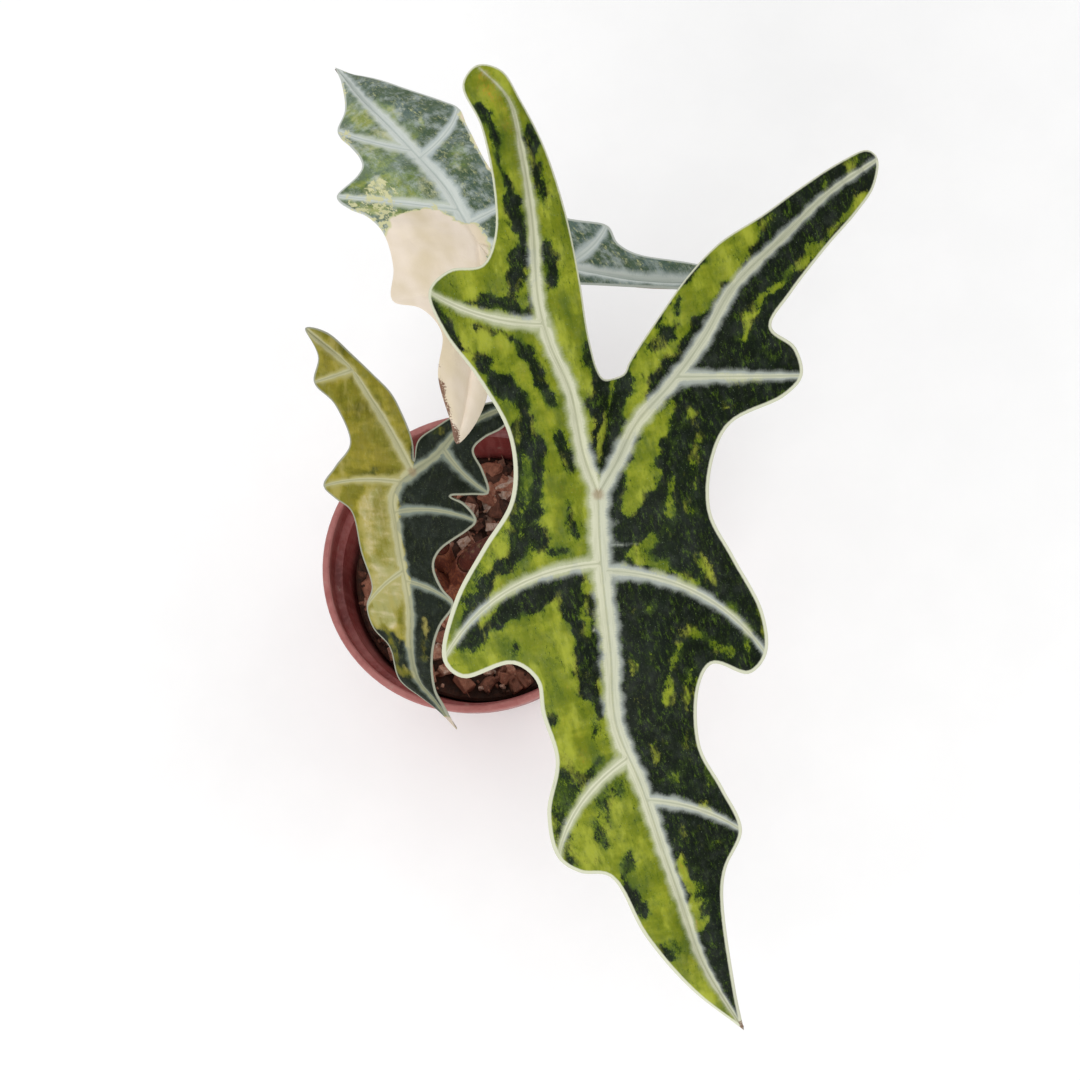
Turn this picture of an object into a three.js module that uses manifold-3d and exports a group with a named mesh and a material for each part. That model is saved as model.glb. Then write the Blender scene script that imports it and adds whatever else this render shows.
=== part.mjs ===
// Potted variegated Alocasia nobilis: a thin nursery pot filled with a chunky potting mix, a short
// stem base that stands in it, and three leaves, each a petiole and an arrow-shaped, lobed blade.
// Millimetres, +Z up, origin on the table under the middle of the pot, the plant's front towards -Y.

import * as THREE from 'three';
import { mergeVertices } from 'three/addons/utils/BufferGeometryUtils.js';
import Module from 'manifold-3d';

// Pot
const RIM_DIAMETER = 120;
const POT_HEIGHT = 92;
const BASE_DIAMETER = 78;
const POT_WALL = 1.5;
const RIM_BAND_HEIGHT = 12;
const RIM_STEP = 2.8;
const LIP_HEIGHT = 2;
const LIP_ROUNDING = 0.7;
const LIP_OVERHANG = 0.4;
const POT_SEGMENTS = 48;
const DRAIN_HOLES = 8;
const DRAIN_HOLE_DIAMETER = 7;
const DRAIN_CIRCLE_DIAMETER = 52;
const DRAIN_HOLE_SEGMENTS = 14;

// Potting mix
const MIX_LEVEL = 69;
const MIX_CROWN = 1.5;
const MIX_EDGE_CHAMFER = 2;
const MIX_WALL_GAP = 0.4;
const MIX_CHIPS = 54;
const CHIP_LENGTH = [6, 13];
const CHIP_WIDTH_SHARE = [0.45, 0.75];
const CHIP_THICKNESS = [2.5, 5];
const CHIP_LIFT = [0.6, 2.2];
const CHIP_TILT = 0.4;
const CHIP_LEAN = 0.25;
const CHIP_TAPER = 0.72;
const CHIP_SEED = 11;
const GOLDEN_ANGLE = Math.PI * (3 - Math.sqrt(5));
const STEM_HOLE_FLARE = 15;

// Clearance between pieces that touch
const SEAT_GAP = 0.3;

// Stem base, and the sheath that each petiole rises from
const STEM_AT = [-13, 2];
const STEM_RADIUS = 9;
const STEM_DEPTH = 34;
const STEM_TOP = 76;
const STEM_SEGMENTS = 20;
const SHEATH_SEGMENTS = 12;
const SHEATH_STEPS = 3;
const SHEATH_FOOT_SCALE = 1.25;
const SHEATHS = {
  front: { end: [-2, 1, 90.5], radius: 4.4 },
  back: { end: [-11, 11, 91], radius: 3.7 },
  low: { end: [-20, 0, 88], radius: 3.4 },
};

// Blade sections
const BLADE_THICKNESS = 0.9;
const RIB_HALF_WIDTH = 2.2;
const RIB_TIP_SHARE = 0.3;
const RIB_FADE_POWER = 0.7;
const RIB_SHARE_LIMIT = 0.3;
const RIB_GROOVE = 0.35;
const SEAT_RADIUS = 1.7 * RIB_HALF_WIDTH;
const SIDE_VEIN_DEPTH = 0.6;
const EDGE_WAVE_FADE = 15;
const OUTER_COLUMNS = [0.45, 0.8, 1];
const INNER_COLUMNS = [0.6, 1];
const CURVE_STEPS = 10;
const NOTCH_FOOT = 0.85;

// The three leaves. A blade lies in its own frame: x from the junction of its three ribs towards the
// tip, +y to its left, z up from its face; heading, droop and roll turn that frame into place. A
// point of an outer margin where a side vein ends also gives the vein's foot, in mm along the midrib
// (negative along the rear rib), and the vein's bow as a share of its length.
const LEAVES = {
  front: {
    at: [45, -60, 291], heading: -95, droop: 27, roll: 3,
    bend: { front: 500, rear: 500, side: 400 },
    rowSpacing: 3.5, ribDepth: 2, quilt: 2.2, wave: 1.8,
    midrib: [[13, -3], [24, -5], [43, -8], [64, -12], [84, -10], [106, -9], [125, -8], [145, -7], [173, -1]],
    notch: [-29, 12],
    left: {
      rib: [[-7, 7], [-16, 15], [-24, 27], [-33, 38], [-44, 49], [-53, 65], [-61, 80], [-66, 95]],
      outer: [[-59, 92], [-54, 86], [-47, 75], [-38, 63], [-31, 56], [-24, 61], [-16, 61, -38, 0], [-12, 55],
        [-9, 39], [-1, 32], [12, 28], [26, 31], [44, 35], [56, 33, 21, 0.13], [60, 27], [54, 18], [59, 13],
        [76, 9], [91, 12], [106, 14, 90, 0.08], [116, 7], [124, 4], [157, 0]],
      inner: [[-29.5, 15], [-32, 17], [-41, 27], [-50, 38], [-56, 48], [-60, 61], [-64, 72], [-68, 85],
        [-69, 93]],
    },
    right: {
      rib: [[-11, -1], [-29, 0], [-42, -2], [-54, -2], [-75, 2], [-95, 4], [-107, 4], [-118, -2]],
      outer: [[-114, -7], [-102, -5], [-84, -6], [-73, -9], [-67, -14], [-68, -23], [-64, -30, -48, -0.07],
        [-53, -29], [-38, -23], [-21, -19], [-5, -23], [6, -34], [19, -46], [35, -54, 19, 0.14], [41, -50],
        [40, -35], [46, -30], [55, -31], [70, -31], [86, -38], [101, -39, 76, 0.1], [107, -34], [110, -26],
        [131, -21], [157, -11]],
      inner: [[-29.5, 9.5], [-32, 8.5], [-42, 8.5], [-56, 10], [-74, 11], [-92, 10], [-106, 7], [-115, 4]],
    },
  },
  back: {
    at: [39, 36, 267], heading: 106, droop: 12, roll: 8,
    bend: { front: 260, rear: 120, side: 300 },
    rowSpacing: 3.1, ribDepth: 1.7, quilt: 1.6, wave: 1.4,
    midrib: [[13, -2], [24, -4], [49, -5], [71, -6], [89, -7], [122, -12]],
    notch: [-19, 1],
    left: {
      rib: [[-13, 7], [-28, 19], [-42, 31], [-50, 40]],
      outer: [[-44, 38], [-32, 34], [-22, 26], [-10, 26], [-1, 31, -17, 0.03], [8, 25], [20, 21], [32, 21],
        [40, 23], [49, 23, 15, 0.02], [51, 14], [53, 11], [65, 9], [80, 7, 49, 0.05], [88, 0], [105, -7]],
      inner: [[-22, 6], [-31, 14], [-44, 25], [-49, 34]],
    },
    right: {
      rib: [[-13, -7], [-25, -19], [-37, -33], [-45, -49], [-49, -69]],
      outer: [[-40, -51], [-30, -38], [-23, -35], [-15, -36, -27, 0.1], [-9, -27], [-3, -20], [8, -20, 8, 0],
        [24, -19], [46, -24], [60, -28, 44, 0.1], [67, -26], [84, -19], [107, -14]],
      inner: [[-20, -2], [-30, -16], [-41, -34], [-48, -50]],
    },
  },
  low: {
    at: [-6, 3, 193], heading: -109, droop: 37, roll: 10,
    bend: { front: 220, rear: 220, side: 220 },
    rowSpacing: 2.8, ribDepth: 1.5, quilt: 1.4, wave: 1.2,
    midrib: [[4, -5], [10, -8], [19, -8], [29, -8], [52, -8], [70, -11], [84, -11], [93, -7], [108, -2]],
    notch: [-4, 1],
    left: {
      rib: [[-6, 9], [-15, 18], [-21, 31], [-24, 39]],
      outer: [[-15, 32], [-12, 26], [-8, 22], [-1, 24], [8, 25, -14, -0.05], [8, 19], [8, 13], [11, 17],
        [18, 20, 18, 0.1], [21, 17], [28, 7], [34, 4], [43, 5], [50, 8, 44, 0.1], [59, 2], [69, -2],
        [88, -5], [95, -4]],
      inner: [[-11, 3], [-16, 10], [-22, 21], [-24, 32]],
    },
    right: {
      rib: [[-7, -3], [-17, -8], [-25, -13], [-35, -20], [-47, -36]],
      outer: [[-38, -31], [-29, -34, -39, 0], [-22, -26], [-10, -21], [-1, -28], [7, -34, 6, 0.06],
        [11, -30], [15, -24], [30, -22], [44, -21], [53, -25, 40, 0.05], [62, -24], [69, -19], [84, -18],
        [92, -12], [99, -7]],
      inner: [[-11, 1], [-21, -2], [-27, -5], [-33, -11], [-39, -18], [-46, -28]],
    },
  },
};

// Petioles: the points between the sheath and the blade, and the radius at the blade
const PETIOLES = {
  front: { through: [[13, -2, 111], [33, -6, 166], [45, -20, 230]], radius: 2.4, steps: 22 },
  back: { through: [[-2, 16, 116], [9, 23, 147], [27, 31, 215]], radius: 2.1, steps: 18 },
  low: { through: [[-18, 3, 118], [-13, 6, 150]], radius: 1.8, steps: 14 },
};
const PETIOLE_SIDES = 10;
const PETIOLE_END_STRAIGHT = 5;

// Colours
const POT_COLOUR = 0x86403f;
const MIX_COLOUR = 0x3d2a20;
const STEM_COLOUR = 0x5c3a2c;
const PETIOLE_COLOURS = { front: 0x6e5a40, back: 0x6c6a4a, low: 0x7a7048 };
const BLADE_COLOURS = { front: 0x6a7a2e, back: 0x7f8f86, low: 0x6d7238 };

const wasm = await Module();
wasm.setup();

// Solids for joining and cutting
function toSolid(geometry) {
  const bare = geometry.clone();
  bare.deleteAttribute('normal');
  bare.deleteAttribute('uv');
  const merged = mergeVertices(bare, 1e-4);
  const vertProperties = new Float32Array(merged.attributes.position.array);
  const triVerts = new Uint32Array(merged.index.array);
  return new wasm.Manifold(new wasm.Mesh({ numProp: 3, vertProperties, triVerts }));
}

function toGeometry(solid) {
  const { vertProperties, triVerts, numProp } = solid.getMesh();
  const positions = [];
  for (let i = 0; i < vertProperties.length; i += numProp) {
    positions.push(vertProperties[i], vertProperties[i + 1], vertProperties[i + 2]);
  }
  return meshGeometry(positions, Array.from(triVerts));
}

// The largest shell of a joined solid: small hollows shut in by the joining are filled, scraps dropped
function mainBody(solid) {
  const shells = solid.decompose();
  return shells.reduce((best, shell) => (shell.volume() > best.volume() ? shell : best));
}

function meshGeometry(positions, triangles) {
  const geometry = new THREE.BufferGeometry();
  geometry.setAttribute('position', new THREE.Float32BufferAttribute(positions, 3));
  geometry.setIndex(triangles);
  geometry.computeVertexNormals();
  return geometry;
}

// Solid of revolution from [radius, height] points that start and end on the axis
function turned(profile, segments) {
  const points = profile.map(([radius, height]) => new THREE.Vector2(radius, height));
  return new THREE.LatheGeometry(points, segments).rotateX(Math.PI / 2);
}

function seededRandom(seed) {
  let state = seed;
  return () => {
    state = (state * 16807) % 2147483647;
    return state / 2147483647;
  };
}

// Pot: tapered wall, stepped rim band with a rounded lip, flat base with drainage holes
const wallTopRadius = RIM_DIAMETER / 2 - RIM_STEP - POT_WALL;
const stepHeight = POT_HEIGHT - RIM_BAND_HEIGHT;

function wallRadius(height) {
  const baseRadius = BASE_DIAMETER / 2;
  return baseRadius + (wallTopRadius - baseRadius) * (height / stepHeight);
}

function potShell() {
  const rim = RIM_DIAMETER / 2;
  const lipInside = rim - 2 * LIP_ROUNDING - POT_WALL;
  const shell = turned([
    [0, 0], [BASE_DIAMETER / 2 - POT_WALL, 0], [wallRadius(POT_WALL), POT_WALL],
    [wallRadius(stepHeight), stepHeight], [rim - POT_WALL, stepHeight + POT_WALL],
    [rim - LIP_OVERHANG, POT_HEIGHT - LIP_HEIGHT], [rim, POT_HEIGHT - LIP_HEIGHT / 2],
    [rim - LIP_ROUNDING, POT_HEIGHT], [lipInside + LIP_ROUNDING, POT_HEIGHT],
    [lipInside, POT_HEIGHT - LIP_HEIGHT / 2], [rim - 2 * POT_WALL, stepHeight + 2 * POT_WALL],
    [wallRadius(stepHeight) - POT_WALL, stepHeight + POT_WALL / 2],
    [wallRadius(2 * POT_WALL) - POT_WALL, 2 * POT_WALL], [wallRadius(POT_WALL) - 2 * POT_WALL, POT_WALL],
    [0, POT_WALL],
  ], POT_SEGMENTS);
  let pot = toSolid(shell);
  const holeRadius = DRAIN_HOLE_DIAMETER / 2;
  const circle = DRAIN_CIRCLE_DIAMETER / 2;
  for (let i = 0; i < DRAIN_HOLES; i += 1) {
    const angle = (2 * Math.PI * i) / DRAIN_HOLES;
    const hole = new THREE.CylinderGeometry(holeRadius, holeRadius, 6 * POT_WALL, DRAIN_HOLE_SEGMENTS);
    hole.rotateX(Math.PI / 2);
    hole.translate(Math.cos(angle) * circle, Math.sin(angle) * circle, 0);
    pot = pot.subtract(toSolid(hole));
  }
  return toGeometry(pot);
}

// Stem base: a short rhizome, with a sheath stump for each petiole, fused
function sheathStart() {
  return new THREE.Vector3(STEM_AT[0], STEM_AT[1], STEM_TOP - STEM_RADIUS);
}

function stemProfile(clearance) {
  const bottom = MIX_LEVEL - STEM_DEPTH;
  return [
    [0, bottom - clearance], [STEM_RADIUS * 0.55 + clearance, bottom - clearance],
    [STEM_RADIUS * 0.95 + clearance, bottom + STEM_DEPTH * 0.4],
    [STEM_RADIUS + clearance, MIX_LEVEL - 2],
  ];
}

function stemBase() {
  const profile = stemProfile(0);
  profile.push([STEM_RADIUS * 0.9, MIX_LEVEL + 2], [STEM_RADIUS * 0.55, STEM_TOP], [0, STEM_TOP + 1]);
  let stem = toSolid(turned(profile, STEM_SEGMENTS).translate(STEM_AT[0], STEM_AT[1], 0));
  for (const { end, radius } of Object.values(SHEATHS)) {
    const start = sheathStart();
    const middle = start.clone().lerp(new THREE.Vector3(...end), 0.5);
    const path = [start, middle, new THREE.Vector3(...end)];
    const sheath = taperedTube(path, radius * SHEATH_FOOT_SCALE, radius, SHEATH_STEPS, SHEATH_SEGMENTS);
    stem = stem.add(toSolid(sheath));
  }
  return toGeometry(stem);
}

// Potting mix: fills the pot below the rim, with bark and coir chips lying in its surface
function pottingMix() {
  const top = MIX_LEVEL;
  const inside = (height) => wallRadius(height) - POT_WALL - MIX_WALL_GAP;
  const bottom = POT_WALL + SEAT_GAP;
  const body = turned([
    [0, bottom], [inside(bottom) - POT_WALL, bottom], [inside(2 * POT_WALL + bottom), 2 * POT_WALL + bottom],
    [inside(top - MIX_EDGE_CHAMFER), top - MIX_EDGE_CHAMFER], [inside(top) - MIX_EDGE_CHAMFER, top],
    [inside(top) * 0.6, top + MIX_CROWN * 0.7], [0, top + MIX_CROWN],
  ], POT_SEGMENTS);
  let mix = toSolid(body);
  const random = seededRandom(CHIP_SEED);
  const between = ([low, high]) => low + random() * (high - low);
  const reach = inside(top) - CHIP_LENGTH[1] / 2 - 1;
  for (let i = 0; i < MIX_CHIPS; i += 1) {
    const distance = reach * Math.sqrt((i + 0.5) / MIX_CHIPS);
    const angle = i * GOLDEN_ANGLE + random() * 0.5;
    mix = mix.add(toSolid(chip(between, distance, angle)));
  }
  const hole = stemProfile(SEAT_GAP);
  const holeTop = MIX_LEVEL + 2 * STEM_HOLE_FLARE;
  hole.push([STEM_RADIUS + STEM_HOLE_FLARE, holeTop], [0, holeTop]);
  const stemHole = toSolid(turned(hole, STEM_SEGMENTS).translate(STEM_AT[0], STEM_AT[1], 0));
  return toGeometry(mainBody(mix.subtract(stemHole)));
}

// One chip of bark: a flat block, narrower at one end, that lies tilted in the surface
function chip(between, distance, angle) {
  const length = between(CHIP_LENGTH);
  const block = new THREE.BoxGeometry(length, length * between(CHIP_WIDTH_SHARE), between(CHIP_THICKNESS));
  const corners = block.attributes.position;
  for (let c = 0; c < corners.count; c += 1) {
    const taper = corners.getX(c) > 0 ? CHIP_TAPER : 1;
    corners.setY(c, corners.getY(c) * taper);
  }
  block.rotateX(between([-CHIP_TILT, CHIP_TILT]));
  block.rotateY(between([-CHIP_LEAN, CHIP_LEAN]));
  block.rotateZ(between([0, 2 * Math.PI]));
  const height = MIX_LEVEL + between(CHIP_LIFT);
  return block.translate(Math.cos(angle) * distance, Math.sin(angle) * distance, height);
}

// Round stalk along points, its radius changing evenly, with flat ends
function taperedTube(points, startRadius, endRadius, steps, sides) {
  const curve = new THREE.CatmullRomCurve3(points);
  const frames = curve.computeFrenetFrames(steps);
  const positions = [];
  const triangles = [];
  for (let i = 0; i <= steps; i += 1) {
    const centre = curve.getPointAt(i / steps);
    const radius = startRadius + (endRadius - startRadius) * (i / steps);
    for (let j = 0; j < sides; j += 1) {
      const angle = (2 * Math.PI * j) / sides;
      const point = centre.clone();
      point.addScaledVector(frames.normals[i], radius * Math.cos(angle));
      point.addScaledVector(frames.binormals[i], radius * Math.sin(angle));
      positions.push(point.x, point.y, point.z);
      if (i < steps) {
        const a = i * sides + j;
        const b = i * sides + ((j + 1) % sides);
        triangles.push(a, b, a + sides, b, b + sides, a + sides);
      }
    }
  }
  const last = steps * sides;
  for (let j = 1; j < sides - 1; j += 1) {
    triangles.push(0, j + 1, j, last, last + j, last + j + 1);
  }
  return meshGeometry(positions, triangles);
}

// A rounded line through points, measured by its length
function measuredLine(points) {
  const curve = new THREE.CatmullRomCurve3(points.map(([x, y]) => new THREE.Vector3(x, y, 0)));
  const dots = curve.getPoints(CURVE_STEPS * (points.length - 1));
  const lengths = [0];
  for (let i = 1; i < dots.length; i += 1) {
    lengths.push(lengths[i - 1] + dots[i].distanceTo(dots[i - 1]));
  }
  const total = lengths[lengths.length - 1];
  const at = (length) => {
    let i = 1;
    while (i < dots.length - 1 && lengths[i] < length) {
      i += 1;
    }
    const share = THREE.MathUtils.clamp((length - lengths[i - 1]) / (lengths[i] - lengths[i - 1]), 0, 1);
    return dots[i - 1].clone().lerp(dots[i], share);
  };
  return { at, total, lengthAt: (index) => lengths[index * CURVE_STEPS] };
}

// Stations along a rib: every break is kept, and the stretches between are divided evenly
function stations(breaks, spacing) {
  const sorted = [...new Set(breaks)].sort((a, b) => a - b);
  const out = [sorted[0]];
  for (let i = 1; i < sorted.length; i += 1) {
    const stretch = sorted[i] - sorted[i - 1];
    const steps = Math.max(1, Math.round(stretch / spacing));
    for (let k = 1; k <= steps; k += 1) {
      out.push(sorted[i - 1] + (stretch * k) / steps);
    }
  }
  return out;
}

// Blade: four strips of rows that run from the ribs to the margins, as the side veins do, with the same
// triangles on both faces. Raised between the veins, grooved over the ribs above and ridged below.
function leafBlade(leaf) {
  const { bend, rowSpacing, ribDepth, quilt, wave } = leaf;
  const sutureLength = Math.hypot(...leaf.notch);
  const midrib = measuredLine([[0, 0], ...leaf.midrib]);
  const tip = leaf.midrib[leaf.midrib.length - 1];
  const tops = [];
  const bottoms = [];
  const keys = new Map();
  const faces = [];

  function vertex(x, y, lift, ridge) {
    const key = `${x.toFixed(3)} ${y.toFixed(3)}`;
    if (!keys.has(key)) {
      const run = x > 0 ? bend.front : bend.rear;
      const top = lift - (x * x) / (2 * run) - (y * y) / (2 * bend.side);
      const onSeat = Math.hypot(x, y) < SEAT_RADIUS;
      keys.set(key, tops.length / 3);
      tops.push(x, y, top);
      bottoms.push(x, y, onSeat ? -BLADE_THICKNESS - ribDepth : top - BLADE_THICKNESS - ridge);
    }
    return keys.get(key);
  }

  // One strip: rows of { foot, ribShare, edge, bow, phase, fade, vein } joined to their neighbours
  function strip(rows, columns, side) {
    let previous = null;
    for (const row of rows) {
      const chord = row.edge.clone().sub(row.foot);
      const across = new THREE.Vector3(-chord.y, chord.x, 0).multiplyScalar(side * row.bow);
      const halfWidth = RIB_HALF_WIDTH * (1 - (1 - RIB_TIP_SHARE) * row.ribShare);
      const ribEdge = Math.min(RIB_SHARE_LIMIT, halfWidth / Math.max(chord.length(), 1e-6));
      const current = [0, ribEdge, ...columns].map((t) => {
        const point = row.foot.clone().addScaledVector(chord, t).addScaledVector(across, 4 * t * (1 - t));
        const swell = quilt * Math.sin(Math.PI * row.phase) * 4 * t * (1 - t);
        const edgeWave = -wave * Math.cos(2 * Math.PI * row.phase) * t * t * row.fade;
        const groove = t === 0 ? -RIB_GROOVE : 0;
        const ribRidge = t === 0 ? ribDepth * (1 - row.ribShare) ** RIB_FADE_POWER : 0;
        const veinRidge = row.vein ? SIDE_VEIN_DEPTH * (1 - t) : 0;
        return vertex(point.x, point.y, swell + edgeWave + groove, Math.max(ribRidge, veinRidge));
      });
      for (let j = 1; previous && j < current.length; j += 1) {
        const [a, b, c, d] = [previous[j - 1], current[j - 1], current[j], previous[j]];
        for (const face of [[a, b, c], [a, c, d]]) {
          if (new Set(face).size === 3) {
            faces.push(side > 0 ? face : face.reverse());
          }
        }
      }
      previous = current;
    }
  }

  const sides = { left: 1, right: -1 };
  const veinFeet = Object.keys(sides).flatMap((name) => leaf[name].outer.map((point) => point[2] ?? 0));
  const frontStations = stations([0, midrib.total, ...veinFeet.filter((foot) => foot > 0)], rowSpacing);

  for (const [name, side] of Object.entries(sides)) {
    const { rib, outer, inner } = leaf[name];
    const lobeTip = rib[rib.length - 1];
    const rearRib = measuredLine([[0, 0], ...rib]);
    const edge = measuredLine([leaf.notch, ...inner, lobeTip, ...outer, tip]);
    const innerLength = edge.lengthAt(inner.length + 1);
    const outerLength = edge.total - innerLength;
    const notchFoot = NOTCH_FOOT * sutureLength;
    const rearFeet = outer.map((point) => -(point[2] ?? 0)).filter((foot) => foot > 0);
    const rearStations = stations([0, notchFoot, rearRib.total, ...rearFeet], rowSpacing);

    const ties = [{ foot: -rearRib.total, length: 0, bow: 0 }];
    outer.forEach((point, i) => {
      const [, , foot, bow] = point;
      if (foot !== undefined) {
        ties.push({ foot, length: edge.lengthAt(inner.length + i + 2) - innerLength, bow });
      }
    });
    ties.push({ foot: midrib.total, length: outerLength, bow: 0 });

    const outerRow = (foot) => {
      const k = Math.max(1, ties.findIndex((tie) => tie.foot >= foot - 1e-6));
      const [from, to] = [ties[k - 1], ties[k]];
      const phase = (foot - from.foot) / (to.foot - from.foot);
      const length = from.length + (to.length - from.length) * phase;
      const rearward = foot < 0;
      return {
        foot: rearward ? rearRib.at(-foot) : midrib.at(foot),
        ribShare: rearward ? -foot / rearRib.total : foot / midrib.total,
        edge: edge.at(innerLength + length),
        bow: from.bow + (to.bow - from.bow) * phase,
        phase,
        fade: Math.min(1, length / EDGE_WAVE_FADE, (outerLength - length) / EDGE_WAVE_FADE),
        vein: Math.abs(phase - 1) < 1e-6 && k < ties.length - 1,
      };
    };
    const outerStations = [...rearStations.map((d) => -d).reverse(), ...frontStations.slice(1)];
    strip(outerStations.map(outerRow), OUTER_COLUMNS, side);

    const innerRow = (distance) => {
      const onSuture = distance <= notchFoot + 1e-6;
      const share = onSuture ? distance / notchFoot : (distance - notchFoot) / (rearRib.total - notchFoot);
      const end = onSuture
        ? new THREE.Vector3(leaf.notch[0] * share, leaf.notch[1] * share, 0)
        : edge.at(innerLength * share);
      return {
        foot: rearRib.at(distance),
        ribShare: distance / rearRib.total,
        edge: end,
        bow: 0,
        phase: 0.5 * Math.sin(Math.PI * Math.min(1, distance / rearRib.total)),
        fade: onSuture ? 0 : Math.sin(Math.PI * share),
        vein: false,
      };
    };
    strip(rearStations.map(innerRow), INNER_COLUMNS, side);
  }
  return closedSheet(tops, bottoms, faces);
}

// Two faces with the same triangles, joined round their edges by a wall
function closedSheet(tops, bottoms, faces) {
  const under = tops.length / 3;
  const directed = new Set();
  for (const [a, b, c] of faces) {
    directed.add(`${a} ${b}`).add(`${b} ${c}`).add(`${c} ${a}`);
  }
  const triangles = [];
  for (const [a, b, c] of faces) {
    triangles.push(a, b, c, under + a, under + c, under + b);
    for (const [from, to] of [[a, b], [b, c], [c, a]]) {
      if (!directed.has(`${to} ${from}`)) {
        triangles.push(to, from, under + from, to, under + from, under + to);
      }
    }
  }
  return meshGeometry([...tops, ...bottoms], triangles);
}

function bladeFrame(leaf) {
  const [turn, droop, roll] = [leaf.heading, leaf.droop, leaf.roll].map(THREE.MathUtils.degToRad);
  return new THREE.Euler(roll, droop, turn, 'ZYX');
}

// Petiole: from its sheath's end up to the seat under the blade's junction
function petiole(name) {
  const leaf = LEAVES[name];
  const { through, radius, steps } = PETIOLES[name];
  const sheathEnd = new THREE.Vector3(...SHEATHS[name].end);
  const sheathAxis = sheathEnd.clone().sub(sheathStart()).normalize();
  const start = sheathEnd.clone().addScaledVector(sheathAxis, SEAT_GAP);
  const lead = start.clone().addScaledVector(sheathAxis, PETIOLE_END_STRAIGHT);
  const bladeNormal = new THREE.Vector3(0, 0, 1).applyEuler(bladeFrame(leaf));
  const seatDepth = BLADE_THICKNESS + leaf.ribDepth + SEAT_GAP;
  const end = new THREE.Vector3(...leaf.at).addScaledVector(bladeNormal, -seatDepth);
  const approach = end.clone().addScaledVector(bladeNormal, -PETIOLE_END_STRAIGHT);
  const points = [start, lead, ...through.map((point) => new THREE.Vector3(...point)), approach, end];
  return taperedTube(points, SHEATHS[name].radius, radius, steps, PETIOLE_SIDES);
}

// The assembly
const plant = new THREE.Group();

function addPiece(name, geometry, colour, roughness) {
  const material = new THREE.MeshStandardMaterial({ color: colour, roughness, metalness: 0 });
  const mesh = new THREE.Mesh(geometry, material);
  mesh.name = name;
  plant.add(mesh);
  return mesh;
}

addPiece('pot', potShell(), POT_COLOUR, 0.45);
addPiece('potting_mix', pottingMix(), MIX_COLOUR, 0.95);
addPiece('stem_base', stemBase(), STEM_COLOUR, 0.7);
for (const [name, leaf] of Object.entries(LEAVES)) {
  addPiece(`petiole_${name}`, petiole(name), PETIOLE_COLOURS[name], 0.6);
  const blade = addPiece(`blade_${name}`, leafBlade(leaf), BLADE_COLOURS[name], 0.5);
  blade.position.set(...leaf.at);
  blade.rotation.copy(bladeFrame(leaf));
}

export default plant;
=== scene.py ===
import math

import bpy
import numpy as np
from mathutils import Euler, Matrix, Vector, noise


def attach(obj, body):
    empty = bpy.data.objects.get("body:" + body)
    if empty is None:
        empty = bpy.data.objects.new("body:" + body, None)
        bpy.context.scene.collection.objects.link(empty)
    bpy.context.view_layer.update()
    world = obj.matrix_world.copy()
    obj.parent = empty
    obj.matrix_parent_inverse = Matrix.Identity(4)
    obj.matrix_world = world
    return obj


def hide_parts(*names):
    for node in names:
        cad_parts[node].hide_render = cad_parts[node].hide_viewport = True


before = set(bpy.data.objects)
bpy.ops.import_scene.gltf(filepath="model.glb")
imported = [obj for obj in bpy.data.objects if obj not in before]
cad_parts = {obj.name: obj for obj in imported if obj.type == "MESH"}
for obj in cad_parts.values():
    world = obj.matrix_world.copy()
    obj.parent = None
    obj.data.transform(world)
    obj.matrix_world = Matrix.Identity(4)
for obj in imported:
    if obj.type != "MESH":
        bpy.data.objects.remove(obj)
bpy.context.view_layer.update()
MM = 0.001

# Pot
# A thin, tapered nursery pot of brick-red polypropylene with a stepped rim band, a rolled lip and eight
# drainage holes. It is injection moulded in one piece, so it has a soft gloss, fine flow marks and scuffs.
POT_SIDES = 96
POT_CREASE = 32
DRAIN_HOLES = 8
DRAIN_HOLE_RADIUS = 3.5
DRAIN_HOLE_SIDES = 28
DRAIN_CIRCLE_RADIUS = 26
DRILL_LENGTH = 8
# Heights over which the lip turns paler, partly real wear and partly painted highlight
LIP_WEAR_AND_HIGHLIGHT_FROM, LIP_WEAR_AND_HIGHLIGHT_FULL = 87.5, 91.5
POT_RED = (134, 58, 55)
# Pale worn plastic, also the colour of the painted highlight on the lip
POT_WORN_AND_HIGHLIGHT = (166, 106, 101)
POT_DEEP = (82, 31, 31)
POT_DUST = (170, 150, 138)

# Radius and height of the pot's section: up the outside, over the lip and down to the inside floor
POT_SECTION = [
    (37.5, 0), (38.6, 0.5), (39.3, 1.5), (42.2, 15.3), (47.3, 39.5), (52.3, 63.7), (55.7, 80),
    (55.9, 80.4), (58.3, 81.2), (58.5, 81.7), (59.0, 85.5), (59.5, 89.4), (59.6, 90), (60, 90.5),
    (60, 91.4), (59.6, 91.9), (58.8, 92), (57.9, 91.9), (57.3, 91.4), (57.2, 90.5), (57, 83),
    (56.2, 82), (54.3, 81), (54.1, 80), (47.8, 50), (41.5, 20), (37.9, 3), (36, 1.5),
]


def only(piece, *others):
    """Leaves one piece active, and it and the others selected."""
    bpy.ops.object.select_all(action="DESELECT")
    for each in (piece, *others):
        each.select_set(True)
    bpy.context.view_layer.objects.active = piece


def joined(pieces):
    """Several pieces made one, in the first of them."""
    only(*pieces)
    bpy.ops.object.join()
    return pieces[0]


def leave_edit():
    """Turns all faces outwards and leaves edit mode."""
    bpy.ops.mesh.select_all(action="SELECT")
    bpy.ops.mesh.normals_make_consistent(inside=False)
    bpy.ops.object.mode_set(mode="OBJECT")


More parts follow.
